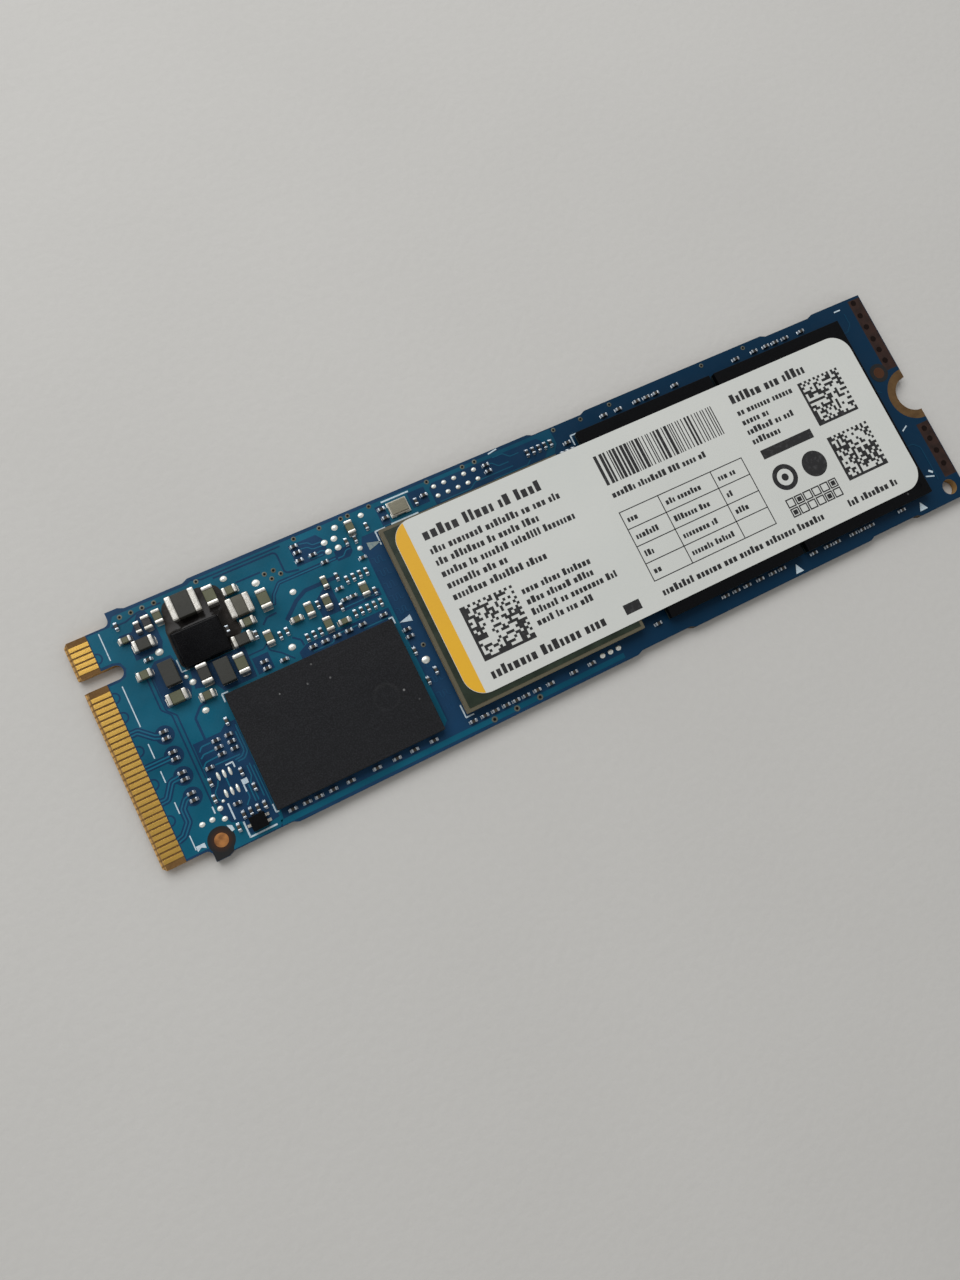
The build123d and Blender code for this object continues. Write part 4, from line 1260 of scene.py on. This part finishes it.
class CARD_OT_board(bpy.types.Operator):
    """Finish the bare board and lay the copper under its mask"""

    bl_idname = "drive_card.board"
    bl_label = "Board and copper"

    def execute(self, context):
        bend = sizes().track_bend / MM
        dressed("circuit_board", board_finish())
        plates("copper_pour", [POUR_OUTLINE, LOWER_POUR], POUR_LIFT, pour_finish(), "solder_mask")
        clearings = [disc(middle, SIGNAL_CLEARING) for middle in SIGNAL_GROUPS]
        plates("bare_fields", BARE_FIELDS + clearings, FIELD_LIFT, bare_mask_finish(), "solder_mask")
        bands = [(PAIR_BAND, route) for route in PAIR_ROUTES]
        loops = [(LOOP_WIDTH, finger_loop(y)) for y in LOOP_PLACES]
        lines = CLEARANCES + bands + loops
        ribbons("copper_clearances", lines, CLEARANCE_LIFT, bend, bare_mask_finish(), "solder_mask")
        sides = (-PAIR_OFFSET, PAIR_OFFSET)
        pairs = [(PAIR_WIDTH, beside(route, side)) for route in PAIR_ROUTES for side in sides]
        bends = [(MEANDER_WIDTH, meander(y)) for y in MEANDER_PLACES]
        ribbons("copper_tracks", TRACKS + pairs, TRACE_LIFT, bend, track_finish(), "solder_mask")
        ribbons("matched_tracks", bends, TRACE_LIFT, MEANDER_BEND, matched_finish(), "solder_mask")
        return {"FINISHED"}


class CARD_OT_screen_print(bpy.types.Operator):
    """Print the white marks on the board"""

    bl_idname = "drive_card.screen_print"
    bl_label = "Screen print"

    def execute(self, context):
        bend = sizes().silk_bend / MM
        ribbons("screen_print_lines", SILK_LINES, SILK_LIFT, bend, silk_finish(), "solder_mask")
        plates("screen_print_patches", SILK_PATCHES, SILK_LIFT, silk_finish(), "solder_mask")
        plates("faint_print_patches", FAINT_PATCHES, SILK_LIFT, faint_finish(), "solder_mask")
        return {"FINISHED"}


class CARD_OT_contacts(bpy.types.Operator):
    """Make the gold fingers on both faces of the tab"""

    bl_idname = "drive_card.contacts"
    bl_label = "Gold fingers"

    def execute(self, context):
        for node in ("upper_contacts", "lower_contacts"):
            boxes = islands(node)
            half = (boxes[0][1] - boxes[0][0]) / 2
            shape = bmesh.new()
            add_block(shape, -half, half, sizes().fine_edge / MM)
            spots = [((low + high) / 2 * MM, 0.0, (1, 1, 1)) for low, high in boxes]
            stamped("gold_fingers_" + node.split("_")[0], shape, spots, gold_finish(), "gold_plate", node)
        return {"FINISHED"}


class CARD_OT_bare_metal(bpy.types.Operator):
    """Finish the screw pads, ground strips and alignment discs, and make the plated holes: bare rings with a
    dark disc of painted shade in each
    """

    bl_idname = "drive_card.bare_metal"
    bl_label = "Bare metal on the board"

    def execute(self, context):
        for node in ("screw_pad_upper", "screw_pad_lower"):
            dressed(node, pad_finish())
        dressed("ground_strips", strip_finish())
        self.alignment_discs()
        self.plated_holes()
        return {"FINISHED"}

    def alignment_discs(self):
        """Copper discs, each in a ring that is bare of mask."""
        boxes = islands("fiducial_discs")
        low, high = boxes[-1]
        radius = (high.x - low.x) / 2
        spots = []
        for box in boxes:
            middle = foot(*box)
            middle.z = BOARD_TOP
            spots.append((middle, 0.0, (1, 1, 1)))
        slope, root, rim, top = 0.02, -0.03, 0.012, 0.018
        edge = radius + slope
        disc_shape = bmesh.new()
        add_turned(disc_shape, [(edge, root), (edge, rim), (radius - slope, top), (0, top)], 32)
        stamped("alignment_discs", disc_shape, spots, copper_finish(), "bare_copper", "fiducial_discs")
        ring_shape = bmesh.new()
        reach, lift = radius * CLEARING_SHARE, 0.015
        add_turned(ring_shape, [(edge, 0.0), (edge, lift), (reach, lift), (reach, 0.0)], 40, ring=True)
        near = spots[0][0] / MM
        finish = clearing_finish(near.x, near.y, radius, reach)
        spots[1] = (*spots[1][:2], (FAR_CLEARING, FAR_CLEARING, 1))
        stamped("alignment_clearings", ring_shape, spots, finish, "bare_copper")
        plates("bare_corner", [BARE_CORNER], CLEARANCE_LIFT, finish, "solder_mask")

    def plated_holes(self):
        """Metal rings, and a dark disc of painted shade in each for the hole."""
        ring, hole = sizes().via_ring / MM, sizes().via_hole / MM
        slope, rim, top = 0.03, 0.016, 0.026
        loop = [(hole, 0.0), (hole, top), (ring - slope, top), (ring, rim), (ring, 0.0)]
        shape = bmesh.new()
        add_turned(shape, loop, 20, ring=True)
        spots = [(at(x, y), 0.0, (1, 1, 1)) for x, y in VIA_PLACES]
        spots += [(at(x, y), 0.0, (WIDE_VIA, WIDE_VIA, 1)) for x, y in WIDE_VIAS]
        stamped("via_rings", shape, spots, ring_finish(), "bare_copper")
        mouth, dip = 0.02, 0.017
        shape = bmesh.new()
        add_turned(shape, [(hole, 0.0), (hole, mouth), (0, dip)], 16)
        spots += [(at(x, y), 0.0, (STRIP_VIA, STRIP_VIA, 1)) for x, y in STRIP_VIAS]
        stamped("via_holes", shape, spots, hole_shade_finish(), "bare_copper")


class CARD_OT_solder(bpy.types.Operator):
    """Make the solder on the test pads, the spare pads and under the packages"""

    bl_idname = "drive_card.solder"
    bl_label = "Solder"

    def execute(self, context):
        steps = 6
        arc = [math.radians(90 * i / steps) for i in range(steps)]
        shape = bmesh.new()
        add_turned(shape, [(math.cos(a), math.sin(a)) for a in arc] + [(0.0, 1.0)], 20)
        for name, node in (("test_pad_domes", "test_pad_solder"), ("spare_pad_mounds", "spare_pad_solder")):
            spots = []
            for low, high in islands(node):
                half = (high - low) / 2
                spots.append((foot(low, high), 0.0, (half.x, half.y, high.z - low.z)))
            stamped(name, shape.copy(), spots, solder_finish(), "solder", node)
        shape.free()
        for package in ("dram", "flash_1", "flash_2", "controller"):
            node = package + "_solder_balls"
            boxes = islands(node)
            low, high = boxes[0]
            radius, rise = (high.x - low.x) / 2, high.z - low.z
            ball = bmesh.new()
            belly = [(0.72, 0.0), (0.95, 0.25), (1.0, 0.5), (0.95, 0.75), (0.72, 1.0), (0.0, 1.0)]
            add_turned(ball, [(radius * r, rise * z) for r, z in belly], 12)
            spots = [(foot(*box), 0.0, (1, 1, 1)) for box in boxes]
            stamped(package + "_balls", ball, spots, solder_finish(), "solder", node)
        return {"FINISHED"}


class CARD_OT_packages(bpy.types.Operator):
    """Make the memory chip, the flash chips and the controller"""

    bl_idname = "drive_card.packages"
    bl_label = "Packages"

    def execute(self, context):
        edge = sizes().package_edge / MM
        fine = sizes().fine_edge / MM
        softened("memory_chip", "dram_mould", edge, memory_finish(), "black_mould", 3, True)
        softened("flash_chip_1", "flash_1_mould", edge, flash_finish(), "black_mould", 3, True)
        softened("flash_chip_2", "flash_2_mould", edge, flash_finish(), "black_mould", 3, True)
        for package in ("dram", "flash_1", "flash_2"):
            node = package + "_substrate"
            softened(package + "_base", node, fine, substrate_finish(), "chip_substrate")
        softened("controller_package", "controller_laminate", fine, rim_finish(), "tan_laminate")
        softened("controller_top", "controller_cover", fine, cover_finish(), "green_cover")
        return {"FINISHED"}


def print_row(rng, x, y, width, height):
    """One row of blank cells in groups, as (middle x, middle y, width, height)."""
    cells, end = [], x + width
    gap, wide_gap, low_share = height * 0.2, height * 0.4, 0.72
    while True:
        widths = [height * rng.uniform(0.3, 0.56) for _ in range(rng.randint(2, 8))]
        if x + sum(widths) + gap * len(widths) > end:
            return cells
        for wide in widths:
            tall = height * rng.choice((low_share, low_share, low_share, 1.0))
            cells.append((x + wide / 2, y - (height - tall) / 2, wide, tall))
            x += wide + gap
        x += wide_gap


def bar_strip(rng, x, y, width, height):
    """Upright bars of three widths."""
    bars, end = [], x + width
    while x < end:
        wide = rng.choice((0.1, 0.1, 0.2, 0.3))
        bars.append((x + wide / 2, y, wide, height))
        x += wide + rng.choice((0.1, 0.15, 0.25))
    return bars


def ruled_table(x, y, width, height, rows, columns):
    """Thin lines of a table."""
    line = 0.09
    across = [(x + width / 2, y + height * i / rows, width + line, line) for i in range(rows + 1)]
    down = [(x + offset, y + height / 2, line, height) for offset in (0.0, *columns, width)]
    return across + down


def box_grid(x, y, columns, rows, step):
    """Small open boxes, a few of them filled."""
    line, side = 0.12, step * 0.78
    cells = []
    for i in range(columns):
        for j in range(rows):
            middle_x, middle_y = x + step * (i + 0.5), y + step * (j + 0.5)
            for sign in (-1, 1):
                cells.append((middle_x + sign * side / 2, middle_y, line, side + line))
                cells.append((middle_x, middle_y + sign * side / 2, side - line, line))
            if (i * 5 + j * 3) % 4 == 0:
                cells.append((middle_x, middle_y, side - 2.5 * line, side - 2.5 * line))
    return cells


class CARD_OT_label(bpy.types.Operator):
    """Make the paper label, its stripe and its plain print"""

    bl_idname = "drive_card.label"
    bl_label = "Label"

    def execute(self, context):
        low, high = box_of("label")
        relief = sizes().label_relief / MM
        radius = sizes().label_corner / MM
        top = high.z - relief
        self.sheet(low, high, radius, top)
        self.stripe(low, high, radius, top, relief)
        self.print_cells(low, top, relief)
        self.codes(low, top, relief)
        self.shapes(low, top, relief)
        return {"FINISHED"}

    def corner(self, x, y, radius, start):
        """Quarter of a circle from an angle on."""
        turns = [math.radians(start + 9 * i) for i in range(11)]
        return [(x + radius * math.cos(a), y + radius * math.sin(a)) for a in turns]

    def sheet(self, low, high, radius, top):
        """Paper with round corners and a soft upper rim."""
        soft = 0.02
        outline = [
            *self.corner(high.x - radius, high.y - radius, radius, 0),
            *self.corner(low.x + radius, high.y - radius, radius, 90),
            *self.corner(low.x + radius, low.y + radius, radius, 180),
            *self.corner(high.x - radius, low.y + radius, radius, 270),
        ]
        shape = bmesh.new()
        add_plate(shape, outline, low.z, top)
        rim = [e for e in shape.edges if all(abs(v.co.z - top) < 1e-6 for v in e.verts)]
        bmesh.ops.bevel(shape, geom=rim, offset=soft, segments=2, profile=0.5, affect="EDGES")
        finish = paper_finish("label_paper", colours().paper, colours().paper_shade)
        placed(from_shape("label_sheet", shape, finish), "label_paper", "label")

    def stripe(self, low, high, radius, top, relief):
        """Coloured stripe that follows the label's round corners."""
        inset = 0.03
        right = low.x + sizes().stripe_width / MM
        round_to = radius - inset
        reach = math.degrees(math.acos((low.x + radius - right) / round_to))
        turns = [math.radians(180 - reach + reach * i / 10) for i in range(11)]
        mid_x, mid_y = low.x + radius, high.y - radius
        upper = [(mid_x + round_to * math.cos(a), mid_y + round_to * math.sin(a)) for a in turns]
        lower = [(x, low.y + high.y - y) for x, y in reversed(upper)]
        shape = bmesh.new()
        add_plate(shape, upper + lower, top, top + relief)
        finish = paper_finish("label_stripe", colours().stripe, colours().stripe_shade)
        placed(from_shape("label_stripe", shape, finish), "label_paper")

    def print_cells(self, low, top, relief):
        """Blank cells in rows, bars, a ruled table, blocks and a grid of boxes."""
        rng = random.Random(11)
        cells = []
        for x, y, width, height in LABEL_ROWS:
            cells.extend(print_row(rng, x, y, width, height))
        cells.extend(bar_strip(rng, *LABEL_BARS))
        cells.extend(ruled_table(*LABEL_TABLE))
        cells.extend(LABEL_BLOCKS)
        cells.extend(box_grid(*LABEL_BOXES))
        shape = bmesh.new()
        add_plate(shape, [(-0.5, -0.5), (0.5, -0.5), (0.5, 0.5), (-0.5, 0.5)], 0.0, 1.0)
        spots = []
        for x, y, width, height in cells:
            place = Vector((low.x + x, low.y + y, top)) * MM
            spots.append((place, 0.0, (width, height, relief)))
        stamped("label_print", shape, spots, ink_finish(), "label_paper")

    def shapes(self, low, top, relief):
        """Plain rings and discs."""
        shape = bmesh.new()
        for x, y, outer, inner in LABEL_RINGS:
            loop = [(inner, top), (inner, top + relief), (outer, top + relief), (outer, top)]
            add_turned(shape, loop, 40, True, (low.x + x, low.y + y))
        for x, y, reach, steps in LABEL_SOLIDS:
            add_plate(shape, disc((low.x + x, low.y + y), reach, steps), top, top + relief)
        placed(from_shape("label_shapes", shape, ink_finish()), "label_paper")

    def codes(self, low, top, relief):
        """Square blocks of seeded random cells."""
        for i, (x, y, count, cell) in enumerate(LABEL_CODES):
            middle = Vector((low.x + x, low.y + y, top)) * MM
            values = {"Middle": middle, "Cells": count, "Cell": cell * MM, "Thickness": relief * MM,
                      "Seed": 3 + i, "Finish": ink_finish()}
            empty = bpy.data.meshes.new("cells")
            piece = code_recipe().run(f"label_cells_{i + 1}", empty, **values)
            placed(piece, "label_paper")


class CARD_OT_chip_parts(bpy.types.Operator):
    """Make the two-ended chip parts of every size, with their solder"""

    bl_idname = "drive_card.chip_parts"
    bl_label = "Chip parts"

    def execute(self, context):
        ceramic, glaze = capacitor_finish(), resistor_finish()
        groups = {
            "large": {"large_capacitor_bodies": ceramic, "large_ferrite_bodies": ferrite_finish()},
            "medium": {"medium_capacitor_bodies": ceramic, "medium_resistor_body": glaze},
            "small": {"small_capacitor_bodies": ceramic, "small_resistor_body": glaze},
            "tiny": {"tiny_capacitor_bodies": tiny_capacitor_finish(), "tiny_resistor_bodies": glaze},
        }
        slots = {"capacitor": "capacitor_ceramic", "ferrite": "ferrite_grey", "resistor": "resistor_black"}
        for size, bodies in groups.items():
            ends = islands(size + "_chip_terminals")
            end_spots = []
            for node, finish in bodies.items():
                boxes = islands(node)
                spots = [self.body_spot(box, ends, end_spots) for box in boxes]
                kind = node.split("_")[1]
                shape = self.body_shape(boxes[0], spots[0][1])
                stamped(f"{size}_{kind}s", shape, spots, finish, slots[kind], node)
            shape = self.end_shape(ends)
            finish = tiny_tin_finish() if size == "tiny" else tin_finish()
            stamped(size + "_ends", shape, end_spots, finish, "tin_plate", size + "_chip_terminals")
        return {"FINISHED"}

    def body_spot(self, box, ends, end_spots):
        """Place and turn of a body, from the two ends that touch it. Notes those ends as well."""
        middle = (box[0] + box[1]) / 2
        near = sorted(ends, key=lambda end: ((end[0] + end[1]) / 2 - middle).xy.length)[:2]
        for low, high in near:
            away = ((low + high) / 2 - middle).xy
            end_spots.append((foot(low, high), math.atan2(away.y, away.x), (1, 1, 1)))
        return (foot(*box), end_spots[-1][1], (1, 1, 1))

    def body_shape(self, box, turn):
        """Body between the ends, lying along X."""
        size = box[1] - box[0]
        shape = bmesh.new()
        half = size.xy / 2 if abs(math.cos(turn)) > 0.5 else size.yx / 2
        add_block(shape, (-half.x, -half.y, 0.0), (half.x, half.y, size.z), min(size) * 0.06, 1)
        return shape

    def end_shape(self, ends):
        """Rounded end cap with solder drawn up its outer face, pointing along X."""
        size = ends[0][1] - ends[0][0]
        thick, wide, tall = min(size.x, size.y), max(size.x, size.y), size.z
        shape = bmesh.new()
        add_block(shape, (-thick / 2, -wide / 2, 0.0), (thick / 2, wide / 2, tall), thick * 0.28)
        tiny_height, overlap, film, steps = 0.3, 0.03, 0.012, 6
        climb, droop, taper = 0.7, 2.2, 0.1
        reach = sizes().fillet_reach / MM * (tall / tiny_height) ** 0.5
        rings = []
        for i in range(steps):
            share = i / (steps - 1)
            rise = max(tall * climb * (1 - share) ** droop, film)
            spread = wide / 2 * (0.96 - taper * share ** 2)
            x = thick / 2 - overlap + (reach + overlap) * share
            shoulder, crown = rise * 0.55, spread * 0.6
            rings.append([
                (x, -spread, 0.0), (x, spread, 0.0), (x, spread, shoulder),
                (x, crown, rise), (x, -crown, rise), (x, -spread, shoulder),
            ])
        add_rings(shape, rings)
        return shape


class CARD_OT_power(bpy.types.Operator):
    """Make the inductors, the power chip and the epoxy round it"""

    bl_idname = "drive_card.power"
    bl_label = "Power section"

    def execute(self, context):
        edge, pad_edge = sizes().part_edge / MM, 0.015
        for size, finish in (("large", ferrite_finish()), ("medium", light_ferrite_finish())):
            core, ends = size + "_inductor_core", size + "_inductor_terminals"
            softened(size + "_core", core, edge * 0.4, finish, "ferrite_grey")
            softened(size + "_core_ends", ends, edge * 1.3, tin_finish(), "tin_plate", 4)
        softened("grey_inductors", "moulded_inductors", edge * 0.6, moulded_finish(), "ferrite_grey", 3)
        softened("grey_inductor_feet", "moulded_inductor_pads", pad_edge, tin_finish(), "tin_plate")
        softened("power_chip_body", "power_chip", edge * 1.6, power_chip_finish(), "black_mould", 4)
        self.epoxy()
        return {"FINISHED"}

    def epoxy(self):
        """Epoxy drawn up the power chip's sides, thinning out over the board between the parts beside it.
        Where its outline reaches over shade beside the parts, it is painted shade.
        """
        chip_low, chip_high = box_of("power_chip")
        low, high = box_of("power_chip_underfill")
        middle = (chip_low + chip_high).xy / 2
        half = (chip_high - chip_low).xy / 2
        shift = BOARD_LOW.x / MM
        outline = [Vector((x + shift, y)) - middle for x, y in EPOXY_AND_SHADE_OUTLINE]
        steps, rows = 160, 12
        film, hug, least_run, slump = 0.03, 0.985, 0.1, 2.6
        rings = [[] for _ in range(rows)]
        for i in range(steps):
            turn = 2 * math.pi * i / steps
            ahead = Vector((math.cos(turn), math.sin(turn)))
            side = min(half.x / max(abs(ahead.x), 1e-6), half.y / max(abs(ahead.y), 1e-6))
            inner = ahead * (hug * side)
            outer = ahead * max(self.reach(outline, ahead), inner.length + least_run)
            for row, ring in enumerate(rings):
                share = row / (rows - 1)
                point = middle + inner.lerp(outer, share)
                rise = film + (high.z - low.z - film) * (1 - share) ** slump
                ring.append((point.x, point.y, low.z + rise))
        rings.append([(x, y, low.z) for x, y, _ in rings[-1]])
        shape = bmesh.new()
        add_rings(shape, rings)
        placed(from_shape("power_chip_epoxy", shape, epoxy_finish()), "black_epoxy", "power_chip_underfill")

    def reach(self, outline, ahead):
        """How far an outline lies from the middle in a direction."""
        for first, second in zip(outline, outline[1:] + outline[:1]):
            along = second - first
            across = ahead.cross(along)
            if abs(across) < 1e-9:
                continue
            distance, share = first.cross(along) / across, first.cross(ahead) / across
            if distance > 0 and 0 <= share <= 1:
                return distance
        raise RuntimeError("the epoxy's outline is open")


class CARD_OT_small_chips(bpy.types.Operator):
    """Make the three-legged chip and the crystal"""

    bl_idname = "drive_card.small_chips"
    bl_label = "Sensor and crystal"

    def execute(self, context):
        fine = sizes().fine_edge / MM
        softened("sensor_body", "sensor_chip", fine * 4, flash_finish(), "black_mould", 3)
        self.leads()
        softened("crystal_body", "crystal_base", fine * 3, ceramic_finish(), "white_ceramic")
        softened("crystal_cap", "crystal_lid", fine * 3, lid_finish(), "lid_metal", 3)
        self.crystal_pads()
        return {"FINISHED"}

    def leads(self):
        """Bent legs: a foot on the board, a slope and a stub into the body."""
        low, high = box_of("sensor_chip")
        middle = (low + high) / 2
        boxes = islands("sensor_leads")
        size = boxes[0][1] - boxes[0][0]
        half = min(size.x, size.y) / 2
        reach, thick = max(size.x, size.y) / 2, size.z * 0.5
        stub, shoulder, heel, bite = 0.24, 0.23, 0.02, 0.02
        path = [(-reach - bite, stub), (-reach * 0.45, shoulder), (-reach * 0.05, heel), (reach * 1.1, 0.0)]
        lean = thick * 0.25
        rings = []
        for x, z in path:
            top = z + thick
            rings.append([(x, -half, z), (x, half, z), (x + lean, half, top), (x + lean, -half, top)])
        shape = bmesh.new()
        add_rings(shape, rings)
        spots = []
        for box in boxes:
            place = foot(*box)
            turn = 0.0 if place.x > middle.x * MM else math.pi
            spots.append((place, turn, (1, 1, 1)))
        stamped("sensor_legs", shape, spots, tin_finish(), "tin_plate", "sensor_leads")

    def crystal_pads(self):
        """Solder at the crystal's four corners."""
        low, high = box_of("crystal_base")
        half_x, half_y, rise, edge = 0.26, 0.22, 0.16, 0.06
        inset_x, inset_y = 0.2, 0.16
        shape = bmesh.new()
        add_block(shape, (-half_x, -half_y, 0.0), (half_x, half_y, rise), edge)
        spots = []
        for x in (low.x + inset_x, high.x - inset_x):
            for y in (low.y + inset_y, high.y - inset_y):
                spots.append((Vector((x, y, low.z)) * MM, 0.0, (1, 1, 1)))
        stamped("crystal_solder", shape, spots, solder_finish(), "solder")


class CARD_OT_stage(bpy.types.Operator):
    """Lay the floor, and set the light and the camera"""

    bl_idname = "drive_card.stage"
    bl_label = "Stage"

    def execute(self, context):
        stage = context.scene.drive_card.stage
        context.scene.view_settings.view_transform = "Standard"
        self.floor()
        self.room(context.scene, stage)
        self.window(stage)
        self.camera(context.scene, stage)
        return {"FINISHED"}

    def floor(self):
        """Pale paper that the card lies on."""
        paint = Paint("floor_paper")
        fibre = paint.noise(1.4, 5.0)
        cloud = paint.span(paint.noise(0.03, 3.0), 0.3, 0.7)
        blotch = cloud * 0.7 + paint.span(fibre, 0.35, 0.7) * 0.3
        tone = paint.blend(blotch, colours().floor, colours().floor_shade)
        finish = paint.finish(tone, 0.8, paint.relief(fibre, 0.035), Specular_IOR_Level=0.1)
        shape = bmesh.new()
        add_plate(shape, disc((0.0, 0.0), FLOOR_REACH, 96), -FLOOR_DROP - FLOOR_THICKNESS, -FLOOR_DROP)
        from_shape("floor", shape, finish)

    def room(self, scene, stage):
        """Soft light from all round: bright walls and a dimmer ceiling."""
        world = bpy.data.worlds.new("soft_room")
        world.use_nodes = True
        graph = Graph(world.node_tree)
        direction = graph.node("ShaderNodeTexCoord", output="Generated")
        height = graph.node("ShaderNodeSeparateXYZ", None, {"Vector": direction}, "Z")
        levels = {"Value": height, "From Min": WALL_END, "From Max": CEILING_START,
                  "To Min": stage.room_level, "To Max": stage.ceiling_level}
        level = graph.node("ShaderNodeMapRange", {"interpolation_type": "SMOOTHSTEP"}, levels)
        background = world.node_tree.nodes["Background"]
        background.inputs["Color"].default_value = ROOM_COLOUR
        graph.feed(background.inputs["Strength"], level)
        scene.world = world

    def window(self, stage):
        """Large soft light beside the card."""
        lamp = bpy.data.lights.new("window", "AREA")
        lamp.shape = "RECTANGLE"
        lamp.size, lamp.size_y = WINDOW_SIZE
        lamp.energy = stage.window_power
        piece = bpy.data.objects.new("window", lamp)
        piece.location = WINDOW_PLACE
        piece.rotation_euler = (-piece.location).to_track_quat("-Z", "Y").to_euler()
        bpy.context.scene.collection.objects.link(piece)

    def camera(self, scene, stage):
        """Camera with a place, an aim and a roll."""
        data = bpy.data.cameras.new("camera")
        data.lens = stage.lens
        data.sensor_width = 36.0
        data.clip_start, data.clip_end = 0.005, 20.0
        place = Vector(stage.camera_place)
        ahead = (Vector(stage.camera_aim) - place).normalized()
        upright = Vector((0, 1, 0)) - ahead * ahead.y
        upright.normalize()
        side = ahead.cross(upright)
        up = upright * math.cos(stage.camera_roll) + side * math.sin(stage.camera_roll)
        right = ahead.cross(up)
        camera = bpy.data.objects.new("camera", data)
        camera.matrix_world = Matrix.Translation(place) @ Matrix((right, up, -ahead)).transposed().to_4x4()
        scene.collection.objects.link(camera)
        scene.camera = camera


OPERATORS = (
    CARD_OT_board, CARD_OT_screen_print, CARD_OT_contacts, CARD_OT_bare_metal, CARD_OT_solder,
    CARD_OT_packages, CARD_OT_label, CARD_OT_chip_parts, CARD_OT_power, CARD_OT_small_chips, CARD_OT_stage,
)


class CARD_PT_panel(bpy.types.Panel):
    """Lists the pieces of the card"""

    bl_idname = "CARD_PT_panel"
    bl_label = "Drive card"
    bl_space_type = "VIEW_3D"
    bl_region_type = "UI"
    bl_category = "Drive card"

    def draw(self, context):
        for operator in OPERATORS:
            self.layout.operator(operator.bl_idname)


CLASSES = (CardSizes, CardColours, CardStage, CardSettings, *OPERATORS, CARD_PT_panel)


def register():
    for item in CLASSES:
        bpy.utils.register_class(item)
    bpy.types.Scene.drive_card = bpy.props.PointerProperty(type=CardSettings)


def unregister():
    del bpy.types.Scene.drive_card
    for item in reversed(CLASSES):
        bpy.utils.unregister_class(item)


def main():
    register()
    for operator in OPERATORS:
        group, name = operator.bl_idname.split(".")
        getattr(getattr(bpy.ops, group), name)()


if __name__ == "__main__":
    main()
